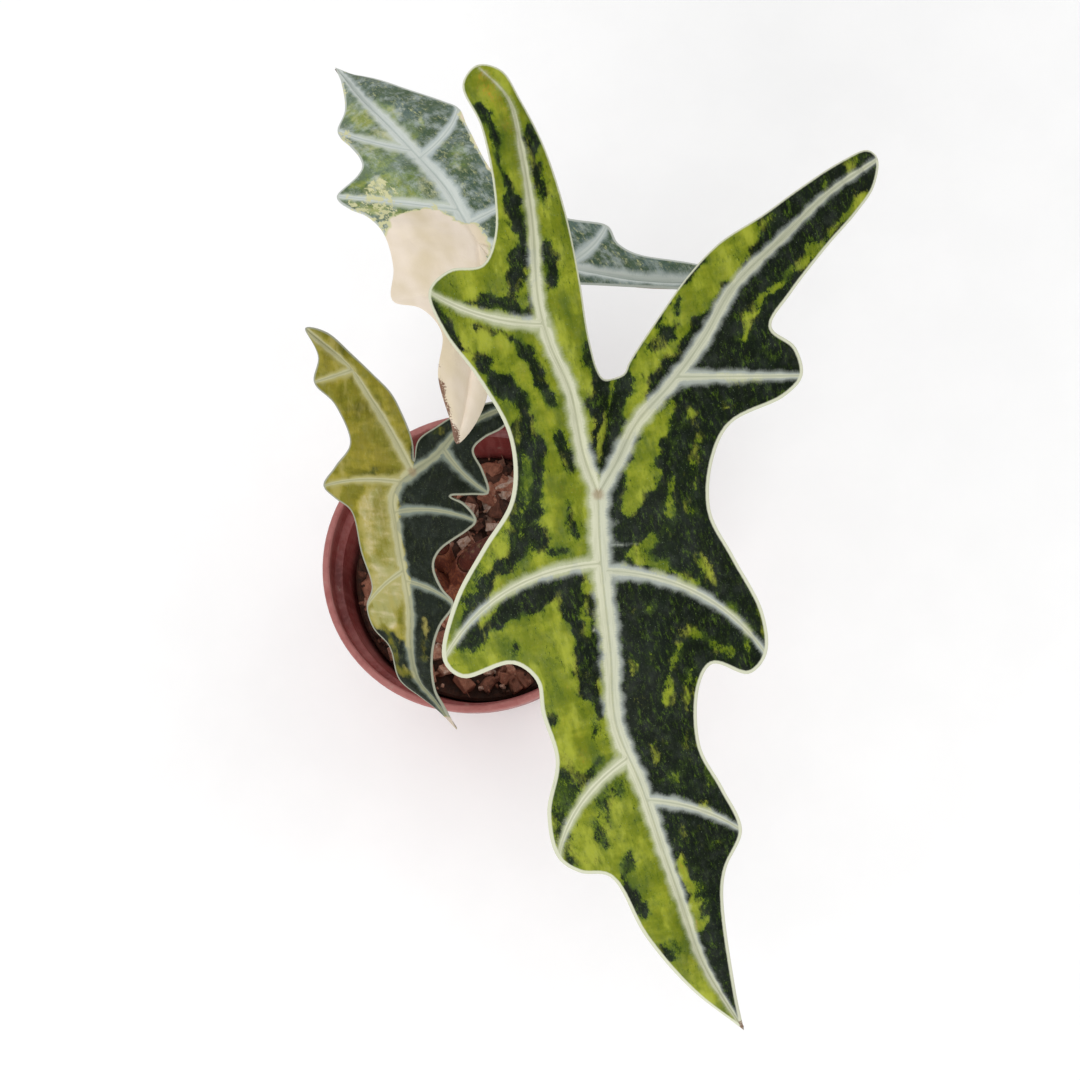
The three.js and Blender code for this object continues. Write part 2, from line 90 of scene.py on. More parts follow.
def turned(name, section, sides):
    """A round piece, extruded from a flat disc through the rings of its section."""
    bpy.ops.object.select_all(action="DESELECT")
    radius, height = section[0]
    bpy.ops.mesh.primitive_circle_add(
        vertices=sides, radius=radius * MM, fill_type="NGON", location=(0, 0, height * MM)
    )
    piece = bpy.context.object
    piece.name = name
    bpy.ops.object.mode_set(mode="EDIT")
    for (radius, height), (wider, higher) in zip(section, section[1:]):
        rise = (0, 0, (higher - height) * MM)
        bpy.ops.mesh.extrude_region_move(TRANSFORM_OT_translate={"value": rise})
        share = wider / radius
        bpy.ops.transform.resize(value=(share, share, 1), center_override=(0, 0, 0))
    leave_edit()
    bpy.ops.object.transform_apply(location=True, rotation=True, scale=True)
    return piece


def apply_modifier(piece, kind, **settings):
    only(piece)
    modifier = piece.modifiers.new(kind.title(), kind)
    for name, value in settings.items():
        setattr(modifier, name, value)
    bpy.ops.object.modifier_apply(modifier=modifier.name)


def coat(piece, *finishes):
    """Gives a piece its finishes, in place of any that it has."""
    piece.data.materials.clear()
    for finish in finishes:
        piece.data.materials.append(finish)


class Wire:
    """What a socket of a finish's nodes gives. Wires are added and multiplied like numbers."""

    def __init__(self, socket):
        self.socket = socket

    def __add__(self, other):
        return put("Math", {0: self, 1: other}, operation="ADD")

    def __sub__(self, other):
        return put("Math", {0: self, 1: other}, operation="SUBTRACT")

    def __rsub__(self, other):
        return put("Math", {0: other, 1: self}, operation="SUBTRACT")

    def __mul__(self, other):
        return put("Math", {0: self, 1: other}, operation="MULTIPLY")


def put(kind, sockets, output=0, **settings):
    """A node's output. A wire given for a socket is linked, and any other value is typed in."""
    tree = next(value.socket.id_data for value in sockets.values() if isinstance(value, Wire))
    node = tree.nodes.new("ShaderNode" + kind)
    for name, value in settings.items():
        setattr(node, name, value)
    for socket, value in sockets.items():
        if isinstance(value, Wire):
            tree.links.new(value.socket, node.inputs[socket])
        else:
            node.inputs[socket].default_value = value
    return Wire(node.outputs[output])


def new_finish(name, gloss):
    """A material, its roughness and colour still to be linked."""
    finish = bpy.data.materials.new(name)
    finish.use_nodes = True
    finish.node_tree.nodes["Principled BSDF"].inputs["Specular IOR Level"].default_value = gloss
    return finish


def spot_on(finish):
    """Where on its piece a point lies, in metres."""
    return Wire(finish.node_tree.nodes.new("ShaderNodeTexCoord").outputs["Object"])


def height_of(spot):
    return put("SeparateXYZ", {0: spot}, 2)


def stretched(vector, stretch):
    """The vector with each axis scaled."""
    return put("Mapping", {"Vector": vector, "Scale": stretch})


def mottle(vector, scale, detail=3.0, roughness=0.6):
    return put("TexNoise", {"Vector": vector, "Scale": scale, "Detail": detail, "Roughness": roughness})


def between(value, low, high, start=0.0, end=1.0):
    """The value eased from start to end as it goes from low to high."""
    sockets = {"Value": value, "From Min": low, "From Max": high, "To Min": start, "To Max": end}
    return put("MapRange", sockets, interpolation_type="SMOOTHSTEP")


def paint(red, green, blue):
    """A screen colour, 0 to 255, as the linear colour of a shader."""
    channels = [value / 255 for value in (red, green, blue)]
    return (*(c / 12.92 if c <= 0.04045 else ((c + 0.055) / 1.055) ** 2.4 for c in channels), 1)


def blend(factor, below, above, mode="MIX"):
    """Two colours mixed, each a wire or a screen colour."""
    below, above = (colour if isinstance(colour, Wire) else paint(*colour) for colour in (below, above))
    return put("Mix", {0: factor, 6: below, 7: above}, 2, data_type="RGBA", blend_type=mode)


def laid(below, above, value, *limits):
    """A colour laid over another, as strongly as the value says between its limits."""
    return blend(between(value, *limits), below, above)


def graded(value, stops):
    """A colour ramp through (place, colour) stops."""
    wire = put("ValToRGB", {0: value})
    ramp = wire.socket.node.color_ramp
    while len(ramp.elements) < len(stops):
        ramp.elements.new(1.0)
    for element, (place, colour) in zip(ramp.elements, stops):
        element.position = place
        element.color = paint(*colour)
    return wire


def finished(finish, colour, roughness, grain, depth):
    """Links the colour, the roughness and a bump, its depth in mm where the grain goes from 0 to 1."""
    bump = put("Bump", {"Height": grain, "Distance": depth * MM, "Strength": 1.0})
    tree = finish.node_tree
    for name, wire in (("Base Color", colour), ("Roughness", roughness), ("Normal", bump)):
        tree.links.new(wire.socket, tree.nodes["Principled BSDF"].inputs[name])
    return finish


def pot_finish():
    finish = new_finish("pot_plastic", 0.45)
    spot = spot_on(finish)
    cloudy = mottle(spot, 40, 4)
    flow = mottle(stretched(spot, (1, 1, 0.12)), 420, 3)
    scuffs = mottle(stretched(spot, (1, 1, 5)), 120, 5, 0.75)
    colour = graded(cloudy, [(0.3, POT_DEEP), (0.5, POT_RED), (0.72, POT_WORN_AND_HIGHLIGHT)])
    colour = blend(0.35, colour, POT_RED)
    colour = laid(colour, POT_WORN_AND_HIGHLIGHT, flow, 0.42, 0.62, 0.0, 0.25)
    # The lip is painted paler all round: partly real wear, partly painted highlight on the rim
    lip = between(height_of(spot), LIP_WEAR_AND_HIGHLIGHT_FROM * MM, LIP_WEAR_AND_HIGHLIGHT_FULL * MM)
    colour = blend(lip * between(scuffs, 0.36, 0.6, 0.4, 0.95), colour, POT_WORN_AND_HIGHLIGHT)
    colour = laid(colour, POT_DUST, scuffs, 0.6, 0.72, 0.0, 0.45)
    return finished(finish, colour, between(scuffs, 0.35, 0.7, 0.34, 0.62), flow + scuffs, 0.12)


pot = turned("nursery_pot", POT_SECTION, POT_SIDES)
drills = []
for hole in range(DRAIN_HOLES):
    angle = 2 * math.pi * hole / DRAIN_HOLES
    middle = Vector((math.cos(angle), math.sin(angle), 0)) * DRAIN_CIRCLE_RADIUS * MM
    bpy.ops.mesh.primitive_cylinder_add(
        vertices=DRAIN_HOLE_SIDES, radius=DRAIN_HOLE_RADIUS * MM, depth=DRILL_LENGTH * MM, location=middle
    )
    drills.append(bpy.context.object)
drill = joined(drills)
apply_modifier(pot, "BOOLEAN", object=drill, operation="DIFFERENCE", solver="EXACT")
bpy.data.objects.remove(drill)
bpy.ops.object.shade_smooth_by_angle(angle=math.radians(POT_CREASE))
coat(pot, pot_finish())
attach(pot, "root")
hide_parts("pot")

# Potting mix
# A chunky mix of composted bark, coir and a little pumice, poured in and settled to about 22 mm below
# the rim. The body fills the pot, and the chips and crumbs lie loose in its surface.
MIX_TOP = 67
MIX_SIDES = 64
MIX_SECTION = [(36.6, 1.9), (38.4, 4.9), (43.9, 33), (50.2, 63), (50.4, 66), (49.4, MIX_TOP)]
MIX_RINGS = [(radius, MIX_TOP) for radius in (46, 41, 35, 29, 23, 17, 11, 5, 1)]
MIX_REACH = 50
MIX_UNEVEN = 1.2
MIX_SHADE = 0.1
HEAP_TOWARDS = (-0.94, 0.33)
HEAP_HEIGHT = 7
STEM_AT = (-13, 2)
STEM_CLEAR = 9
GOLDEN_ANGLE = math.pi * (3 - math.sqrt(5))
CHIP_SEED = 11
CHIP_KINDS = 5
CHIP_CUTS = 5
# How many chips, then crumbs, with the limits of their lengths, lifts and thickness shares
CHIPS = (430, (5, 13), (-0.8, 2.6), (0.3, 0.5))
CRUMBS = (620, (1.2, 3.4), (0.6, 3.4), (0.4, 0.8))
CRUMB_KINDS = 2
BARK_DARK = (94, 59, 46)
BARK_RED = (164, 108, 86)
BARK_TAN = (188, 146, 124)
BARK_PALE = (208, 184, 168)
# The darkest bark tone, also painted as shade in the gaps below the chips, between these heights
MIX_DARKEST_AND_GAP_SHADE = (44, 28, 20)
GAP_SHADE_BELOW, GAP_SHADE_END = 66, 69.5


def heaped(x, y):
    """How much higher the mix lies at a place, as it is heaped against one side of the pot."""
    share = (x * HEAP_TOWARDS[0] + y * HEAP_TOWARDS[1]) / MIX_REACH
    return HEAP_HEIGHT * min(1, max(0, share)) ** 1.5


def bark_chip(draw):
    """One angular chip, a block cut by a few planes, with its edges knocked off."""
    bpy.ops.object.select_all(action="DESELECT")
    bpy.ops.mesh.primitive_cube_add(size=1)
    chip = bpy.context.object
    bpy.ops.object.mode_set(mode="EDIT")
    for cut in range(CHIP_CUTS):
        facing = Vector(draw.normal(size=3)).normalized()
        bpy.ops.mesh.select_all(action="SELECT")
        bpy.ops.mesh.bisect(
            plane_co=facing * draw.uniform(0.4, 0.58), plane_no=facing, use_fill=True, clear_outer=True
        )
    bpy.ops.mesh.select_all(action="SELECT")
    bpy.ops.mesh.bevel(offset=0.05, segments=1)
    leave_edit()
    return chip


def set_numbers(mesh, **layers):
    """Stores numbers on a mesh, one for each point or one for all, that its finish reads."""
    for name, values in layers.items():
        layer = mesh.attributes.new(name, "FLOAT", "POINT")
        layer.data.foreach_set("value", np.zeros(len(mesh.vertices), np.float32) + values)


def strew(kinds, draw, count, lengths, lifts, flatness):
    """Copies of the chips, laid in a sunflower spiral over the mix with random turns and sizes."""
    strewn = []
    for place in range(count):
        length = draw.uniform(*lengths) * draw.uniform(0.7, 1)
        distance = (MIX_REACH - length / 2) * math.sqrt((place + 0.5) / count)
        angle = place * GOLDEN_ANGLE + draw.uniform(0, 0.6)
        x, y = distance * math.cos(angle), distance * math.sin(angle)
        size = Vector((length, length * draw.uniform(0.45, 0.8), length * draw.uniform(*flatness)))
        turn = Euler((draw.normal(0, 0.45), draw.normal(0, 0.35), draw.uniform(0, 2 * math.pi)))
        lift = MIX_TOP + heaped(x, y) + draw.uniform(*lifts)
        shade = draw.uniform(0, 1)
        kind = kinds[draw.integers(len(kinds))]
        if math.hypot(x - STEM_AT[0], y - STEM_AT[1]) < STEM_CLEAR + length / 3:
            continue
        mesh = kind.data.copy()
        mesh.transform(Matrix.LocRotScale(Vector((x, y, lift)) * MM, turn, size * MM))
        set_numbers(mesh, shade=shade)
        copy = bpy.data.objects.new("chip", mesh)
        bpy.context.collection.objects.link(copy)
        strewn.append(copy)
    return strewn


def reading(finish, name, output="Fac"):
    """The numbers, or with the output Vector the vectors, that are stored on the mesh."""
    node = finish.node_tree.nodes.new("ShaderNodeAttribute")
    node.attribute_name = name
    return Wire(node.outputs[output])


def mix_finish():
    finish = new_finish("bark_mix", 0.25)
    spot = spot_on(finish)
    grain = mottle(spot, 500, 6, 0.7)
    layers = mottle(stretched(spot, (1, 0.35, 2.2)), 900, 4, 0.7)
    shade = grain * 0.9 + reading(finish, "shade") - 0.45
    stops = [(0.0, MIX_DARKEST_AND_GAP_SHADE), (0.25, BARK_DARK), (0.68, BARK_RED), (0.9, BARK_TAN), (1.0, BARK_PALE)]
    colour = laid(graded(shade, stops), BARK_DARK, layers, 0.4, 0.7, 0.0, 0.45)
    # Painted shade: the mix is darkened below the chips, where shade falls in the gaps between them
    colour = laid(colour, MIX_DARKEST_AND_GAP_SHADE, height_of(spot), GAP_SHADE_BELOW * MM, GAP_SHADE_END * MM, 0.75, 0.0)
    return finished(finish, colour, between(grain, 0.35, 0.65, 0.6, 0.92), grain + layers, 0.5)


draw = np.random.default_rng(CHIP_SEED)
mix = turned("bark_mix", MIX_SECTION + MIX_RINGS, MIX_SIDES)
for vertex in mix.data.vertices:
    x, y, z = vertex.co / MM
    if z > MIX_TOP - 1.5:
        vertex.co.z += (noise.noise(vertex.co * 90) * MIX_UNEVEN + heaped(x, y)) * MM
set_numbers(mix.data, shade=MIX_SHADE)
kinds = [bark_chip(draw) for kind in range(CHIP_KINDS)]
strewn = strew(kinds, draw, *CHIPS) + strew(kinds[:CRUMB_KINDS], draw, *CRUMBS)
for kind in kinds:
    bpy.data.objects.remove(kind)
joined([mix, *strewn])
coat(mix, mix_finish())
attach(mix, "root")
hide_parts("potting_mix")

# Stem base
# The short upright rhizome, with the brown papery sheath of each petiole wrapped round it. It grows out
# of the mix, and the sheaths part towards their own leaves.
STEM_SECTION = [(4.8, 36), (7.4, 42), (8.7, 52), (9, 66), (8.6, 69), (7.4, 72), (5.4, 75), (2.5, 76.6)]
STEM_SIDES = 32
STEM_UNEVEN = 0.5
SHEATH_START = (-13, 2, 66)
SHEATHS = {
    "front": {"end": (-2, 1, 90.5), "radius": 4.4},
    "back": {"end": (-11, 11, 91), "radius": 3.7},
    "low": {"end": (-20, 0, 88), "radius": 3.4},
}
SHEATH_WALL = 0.6
SHEATH_STEPS = 12
SHEATH_FOOT_SCALE = 1.25
MOUTH_SLANT = 0.55
MOUTH_DEPTH = 0.7
SHEATH_BROWN = (102, 52, 38)
SHEATH_DARK = (50, 24, 21)
SHEATH_PALE = (170, 106, 68)


def rounded(points, steps):
    """A curve through points, the centripetal one that the solids follow."""
    knots = np.array(points, float)
    knots = np.vstack([2 * knots[0] - knots[1], knots, 2 * knots[-1] - knots[-2]])
    dots = []
    share = np.arange(steps)[:, None] / steps
    for p0, p1, p2, p3 in zip(knots, knots[1:], knots[2:], knots[3:]):
        d0, d1, d2 = (math.sqrt(max(np.linalg.norm(b - a), 1e-6)) for a, b in ((p0, p1), (p1, p2), (p2, p3)))
        leave = ((p1 - p0) / d0 - (p2 - p0) / (d0 + d1) + (p2 - p1) / d1) * d1
        arrive = ((p2 - p1) / d1 - (p3 - p1) / (d1 + d2) + (p3 - p2) / d2) * d1
        square = (3 * (p2 - p1) - 2 * leave - arrive) * share**2
        dots.append(p1 + leave * share + square + (2 * (p1 - p2) + leave + arrive) * share**3)
    return np.vstack([*dots, knots[-2]])


def stalk(name, path, radii, capped=True):
    """A round stalk along a path, from a thick curve that is made a mesh."""
    curve = bpy.data.curves.new(name, "CURVE")
    curve.dimensions = "3D"
    spline = curve.splines.new("POLY")
    spline.points.add(len(path) - 1)
    for knot, point, radius in zip(spline.points, path, radii):
        knot.co = (*(point * MM), 1)
        knot.radius = radius
    curve.bevel_depth = MM
    curve.bevel_resolution = 8
    curve.use_fill_caps = capped
    piece = bpy.data.objects.new(name, curve)
    bpy.context.collection.objects.link(piece)
    only(piece)
    bpy.ops.object.convert(target="MESH")
    bpy.ops.object.mode_set(mode="EDIT")
    bpy.ops.mesh.select_all(action="SELECT")
    bpy.ops.mesh.remove_doubles(threshold=1e-6)
    leave_edit()
    bpy.ops.object.shade_smooth()
    return bpy.context.object


def sheath(name, end, radius):
    """A thin tube that opens towards its petiole with a slanting mouth."""
    start, end = np.array(SHEATH_START, float), np.array(end, float)
    share = np.linspace(0, 1, SHEATH_STEPS)[:, None]
    radii = radius * (SHEATH_FOOT_SCALE + (1 - SHEATH_FOOT_SCALE) * share[:, 0]) - SHEATH_WALL / 2
    tube = stalk(name, start + (end - start) * share, radii, capped=False)
    axis = Vector(end - start).normalized()
    bpy.ops.object.mode_set(mode="EDIT")
    bpy.ops.mesh.select_all(action="SELECT")
    bpy.ops.mesh.bisect(
        plane_co=(Vector(end) - axis * radius * MOUTH_DEPTH) * MM,
        plane_no=(axis + Vector((0, 0, MOUTH_SLANT))).normalized(), clear_outer=True,
    )
    bpy.ops.object.mode_set(mode="OBJECT")
    apply_modifier(tube, "SOLIDIFY", thickness=SHEATH_WALL * MM, offset=0)
    return tube


def sheath_finish():
    finish = new_finish("stem_sheath", 0.35)
    spot = spot_on(finish)
    fibres = mottle(stretched(spot, (1, 1, 0.08)), 1500, 4, 0.7)
    patches = mottle(spot, 160, 4)
    stops = [(0.28, SHEATH_DARK), (0.5, SHEATH_BROWN), (0.74, SHEATH_PALE)]
    colour = graded(fibres * 0.6 + patches * 0.45, stops)
    return finished(finish, colour, between(patches, 0.35, 0.65, 0.45, 0.75), fibres, 0.25)


stem = turned("stem_base_and_sheaths", STEM_SECTION, STEM_SIDES)
for vertex in stem.data.vertices:
    vertex.co += vertex.co.normalized() * noise.noise(vertex.co * 220) * STEM_UNEVEN * MM
stem.data.transform(Matrix.Translation((STEM_AT[0] * MM, STEM_AT[1] * MM, 0)))
only(stem)
bpy.ops.object.shade_smooth()
joined([stem, *(sheath("sheath_" + name, **shape) for name, shape in SHEATHS.items())])
coat(stem, sheath_finish())
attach(stem, "root")
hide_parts("stem_base")

# Leaf blades, their shapes
# Three thick, leathery, arrow-shaped blades with waved edges, that swell between sunken veins. Each is
# drawn flat, in mm: x from the junction of its ribs towards the tip, +y to its left, z up from its face.
# A margin point where a side vein ends also gives the vein's foot along the rib and its bow.
LEAVES = {
    "front": {
        "at": (45, -60, 291), "heading": -95, "droop": 27, "roll": 3,
        "bend": {"front": 500, "rear": 500, "side": 400}, "rib_depth": 2, "quilt": 2.2, "wave": 1.8,
        "midrib": [(13, -3), (24, -5), (43, -8), (64, -12), (84, -10), (106, -9), (125, -8), (145, -7),
                   (173, -1)],
        "notch": (-29, 12),
        "left": {
            "rib": [(-7, 7), (-16, 15), (-24, 27), (-33, 38), (-44, 49), (-53, 65), (-61, 80), (-66, 95)],
            "outer": [(-59, 92), (-54, 86), (-47, 75), (-38, 63), (-31, 56), (-24, 61), (-16, 61, -38, 0),
                      (-12, 55), (-9, 39), (-1, 32), (12, 28), (26, 31), (44, 35), (56, 33, 21, 0.13),
                      (60, 27),
                      (54, 18), (59, 13), (76, 9), (91, 12), (106, 14, 90, 0.08), (116, 7), (124, 4),
                      (157, 0)],
            "inner": [(-29.5, 15), (-32, 17), (-41, 27), (-50, 38), (-56, 48), (-60, 61), (-64, 72),
                      (-68, 85), (-69, 93)],
        },
        "right": {
            "rib": [(-11, -1), (-29, 0), (-42, -2), (-54, -2), (-75, 2), (-95, 4), (-107, 4), (-118, -2)],
            "outer": [(-114, -7), (-102, -5), (-84, -6), (-73, -9), (-67, -14), (-68, -23),
                      (-64, -30, -48, -0.07),
                      (-53, -29), (-38, -23), (-21, -19), (-5, -23), (6, -34), (19, -46),
                      (35, -54, 19, 0.14),
                      (41, -50), (40, -35), (46, -30), (55, -31), (70, -31), (86, -38), (101, -39, 76, 0.1),
                      (107, -34), (110, -26), (131, -21), (157, -11)],
            "inner": [(-29.5, 9.5), (-32, 8.5), (-42, 8.5), (-56, 10), (-74, 11), (-92, 10), (-106, 7),
                      (-115, 4)],
        },
    },
    "back": {
        "at": (39, 36, 267), "heading": 106, "droop": 12, "roll": 8,
        "bend": {"front": 260, "rear": 120, "side": 300}, "rib_depth": 1.7, "quilt": 1.6, "wave": 1.4,
        "midrib": [(13, -2), (24, -4), (49, -5), (71, -6), (89, -7), (122, -12)],
        "notch": (-19, 1),
        "left": {
            "rib": [(-13, 7), (-28, 19), (-42, 31), (-50, 40)],
            "outer": [(-44, 38), (-32, 34), (-22, 26), (-10, 26), (-1, 31, -17, 0.03), (8, 25),
                      (20, 21), (32, 21),
                      (40, 23), (49, 23, 15, 0.02), (51, 14), (53, 11), (65, 9), (80, 7, 49, 0.05), (88, 0),
                      (105, -7)],
            "inner": [(-22, 6), (-31, 14), (-44, 25), (-49, 34)],
        },
        "right": {
            "rib": [(-13, -7), (-25, -19), (-37, -33), (-45, -49), (-49, -69)],
            "outer": [(-40, -51), (-30, -38), (-23, -35), (-15, -36, -27, 0.1), (-9, -27), (-3, -20),
                      (8, -20, 8, 0),
                      (24, -19), (46, -24), (60, -28, 44, 0.1), (67, -26), (84, -19), (107, -14)],
            "inner": [(-20, -2), (-30, -16), (-41, -34), (-48, -50)],
        },
    },
    "low": {
        "at": (-6, 3, 193), "heading": -109, "droop": 37, "roll": 10,
        "bend": {"front": 220, "rear": 220, "side": 220}, "rib_depth": 1.5, "quilt": 1.4, "wave": 1.2,
        "midrib": [(4, -5), (10, -8), (19, -8), (29, -8), (52, -8), (70, -11), (84, -11), (93, -7),
                   (108, -2)],
        "notch": (-4, 1),
        "left": {
            "rib": [(-6, 9), (-15, 18), (-21, 31), (-24, 39)],
            "outer": [(-15, 32), (-12, 26), (-8, 22), (-1, 24), (8, 25, -14, -0.05), (8, 19), (8, 13),
                      (11, 17),
                      (18, 20, 18, 0.1), (21, 17), (28, 7), (34, 4), (43, 5), (50, 8, 44, 0.1), (59, 2),
                      (69, -2),
                      (88, -5), (95, -4)],
            "inner": [(-11, 3), (-16, 10), (-22, 21), (-24, 32)],
        },
        "right": {
            "rib": [(-7, -3), (-17, -8), (-25, -13), (-35, -20), (-47, -36)],
            "outer": [(-38, -31), (-29, -34, -39, 0), (-22, -26), (-10, -21), (-1, -28), (7, -34, 6, 0.06),
                      (11, -30), (15, -24), (30, -22), (44, -21), (53, -25, 40, 0.05), (62, -24), (69, -19),
                      (84, -18), (92, -12), (99, -7)],
            "inner": [(-11, 1), (-21, -2), (-27, -5), (-33, -11), (-39, -18), (-46, -28)],
        },
    },
}
BLADE_THICKNESS = 0.9
EDGE_THICKNESS = 0.5
RIB_GROOVE = 0.35
SIDE_VEIN_DEPTH = 0.6
SIDE_GROOVE_SHARE = 0.6
EDGE_WAVE_FADE = 15
NOTCH_FOOT = 0.85
ROW_SPACING = 0.9
COLUMN_SPACING = 1.5
RIB_COLUMNS = (0, 0.3, 0.7, 1.2, 1.8, 2.5)
EDGE_COLUMNS = (2.2, 1.5, 1, 0.6, 0.25, 0)
CLOSE_COLUMNS_WIDTH = 5
FULL_WIDTH = 10
CURVE_STEPS = 12
WELD_REACH = 0.02
SIDES = {"left": 1, "right": -1}


def run_along(points):
    """The length of a line up to each of its points."""
    return np.concatenate([[0], np.cumsum(np.linalg.norm(np.diff(points, axis=0), axis=1))])


def measured(points):
    """A rounded line and the length run at each of its dots."""
    dots = rounded([point[:2] for point in points], CURVE_STEPS)
    return dots, run_along(dots)


def along(line, run):
    dots, lengths = line
    return np.stack([np.interp(run, lengths, dots[:, axis]) for axis in (0, 1)], axis=-1)


def stations(breaks):
    """Places along a rib: every break, and even steps between them."""
    breaks = sorted(set(breaks))
    steps = [breaks[:1]]
    for a, b in zip(breaks, breaks[1:]):
        steps.append(np.linspace(a, b, max(1, round((b - a) / ROW_SPACING)) + 1)[1:])
    return np.concatenate(steps)


def blade_lines(leaf):
    """The midrib, and for each half its rib, margins and the ties from rib to margin."""
    tip = leaf["midrib"][-1]
    midrib = measured([(0, 0), *leaf["midrib"]])
    halves = {}
    for side in SIDES:
        half = leaf[side]
        rib = measured([(0, 0), *half["rib"]])
        margin = [leaf["notch"], *half["inner"], half["rib"][-1], *half["outer"], tip]
        dots, lengths = measured(margin)
        cut = (len(half["inner"]) + 1) * CURVE_STEPS
        inner = dots[: cut + 1], lengths[: cut + 1]
        outer = dots[cut:], lengths[cut:] - lengths[cut]
        ties = [(-rib[1][-1], 0, 0)]
        for place, point in enumerate(half["outer"], 1):
            if len(point) == 4:
                ties.append((point[2], outer[1][place * CURVE_STEPS], point[3]))
        ties.append((midrib[1][-1], outer[1][-1], 0))
        halves[side] = {"rib": rib, "outer": outer, "inner": inner, "ties": np.array(ties)}
    return midrib, halves


def strip(foot, edge, bow, phase, fade, side, leaf):
    """Points of one strip: rows from the rib to the margin, closest together beside both."""
    chord = edge - foot
    length = np.linalg.norm(chord, axis=1)[:, None]
    shrink = np.minimum(1, length / FULL_WIDTH)
    near, far = np.array(RIB_COLUMNS) * shrink, length - np.array(EDGE_COLUMNS) * shrink
    count = max(2, round((length.max() - CLOSE_COLUMNS_WIDTH) / COLUMN_SPACING))
    step = np.arange(1, count) / count
    middle = near[:, -1:] + (far[:, :1] - near[:, -1:]) * step
    share = np.hstack([near, middle, far]) / np.maximum(length, 1e-6)
    share[length[:, 0] < 1e-6] = np.linspace(0, 1, share.shape[1])
    arc = 4 * share * (1 - share)
    across = np.stack([-chord[:, 1], chord[:, 0]], axis=1) * (side * bow)[:, None]
    flat = foot[:, None] + chord[:, None] * share[..., None] + across[:, None] * arc[..., None]
    swell = leaf["quilt"] * np.sin(math.pi * phase)[:, None] * arc
    wave = -leaf["wave"] * (np.cos(2 * math.pi * phase) * fade)[:, None] * share**2
    run = np.where(flat[..., 0] > 0, leaf["bend"]["front"], leaf["bend"]["rear"])
    curl = -flat[..., 0] ** 2 / (2 * run) - flat[..., 1] ** 2 / (2 * leaf["bend"]["side"])
    return np.dstack([flat, swell + wave + curl])


def blade_strips(leaf, midrib, halves):
    """The outer and inner strip of each half, with the side it lies on."""
    reach = midrib[1][-1]
    suture = NOTCH_FOOT * math.hypot(*leaf["notch"])
    feet = [tie[0] for half in halves.values() for tie in half["ties"][1:-1]]
    front = stations([0, reach, *(foot for foot in feet if foot > 0)])
    strips = []
    for side, sign in SIDES.items():
        half = halves[side]
        ties, rib = half["ties"], half["rib"]
        rear_reach = rib[1][-1]
        rear = stations([0, suture, rear_reach, *(-foot for foot in ties[1:-1, 0] if foot < 0)])

        feet_run = np.concatenate([-rear[::-1], front[1:]])
        tie = np.clip(np.searchsorted(ties[:, 0], feet_run - 1e-6), 1, len(ties) - 1)
        phase = (feet_run - ties[tie - 1, 0]) / (ties[tie, 0] - ties[tie - 1, 0])
        edge_run = ties[tie - 1, 1] + (ties[tie, 1] - ties[tie - 1, 1]) * phase
        bow = ties[tie - 1, 2] + (ties[tie, 2] - ties[tie - 1, 2]) * phase
        foot = np.where(feet_run[:, None] < 0, along(rib, -feet_run), along(midrib, feet_run))
        fade = np.minimum(edge_run, half["outer"][1][-1] - edge_run) / EDGE_WAVE_FADE
        edge = along(half["outer"], edge_run)
        strips.append((sign, strip(foot, edge, bow, phase, np.minimum(1, fade), sign, leaf)))

        on_suture = rear <= suture + 1e-6
        share = np.where(on_suture, rear / suture, (rear - suture) / (rear_reach - suture))
        shut = np.array(leaf["notch"]) * share[:, None]
        inner_edge = along(half["inner"], half["inner"][1][-1] * share)
        edge = np.where(on_suture[:, None], shut, inner_edge)
        phase = 0.5 * np.sin(math.pi * rear / rear_reach)
        fade = np.where(on_suture, 0, np.sin(math.pi * share))
        strips.append((sign, strip(along(rib, rear), edge, 0 * rear, phase, fade, sign, leaf)))
    return strips


def blade_sheet(name, leaf, midrib, halves):
    """The upper face: four grids of quads laid on the strips and welded along the ribs."""
    sheets = []
    for sign, points in blade_strips(leaf, midrib, halves):
        if sign > 0:
            points = points[::-1]
        rows, columns = points.shape[:2]
        bpy.ops.object.select_all(action="DESELECT")
        bpy.ops.mesh.primitive_grid_add(x_subdivisions=columns - 1, y_subdivisions=rows - 1)
        sheet = bpy.context.object
        sheet.data.vertices.foreach_set("co", points.reshape(-1))
        flat = sheet.data.attributes.new("flat", "FLOAT_VECTOR", "POINT")
        flat.data.foreach_set("vector", (points * (1, 1, 0)).reshape(-1))
        set_numbers(sheet.data, half=sign)
        sheets.append(sheet)
    blade = joined(sheets)
    blade.name = name
    bpy.ops.object.mode_set(mode="EDIT")
    bpy.ops.mesh.select_all(action="SELECT")
    bpy.ops.mesh.remove_doubles(threshold=WELD_REACH)
    bpy.ops.mesh.dissolve_degenerate(threshold=WELD_REACH / 2)
    bpy.ops.object.mode_set(mode="OBJECT")
    return blade


def leaf_turn(leaf):
    """How a blade's own frame is turned into place, by its roll, droop and heading."""
    return Euler([math.radians(leaf[angle]) for angle in ("roll", "droop", "heading")], "XYZ").to_matrix()


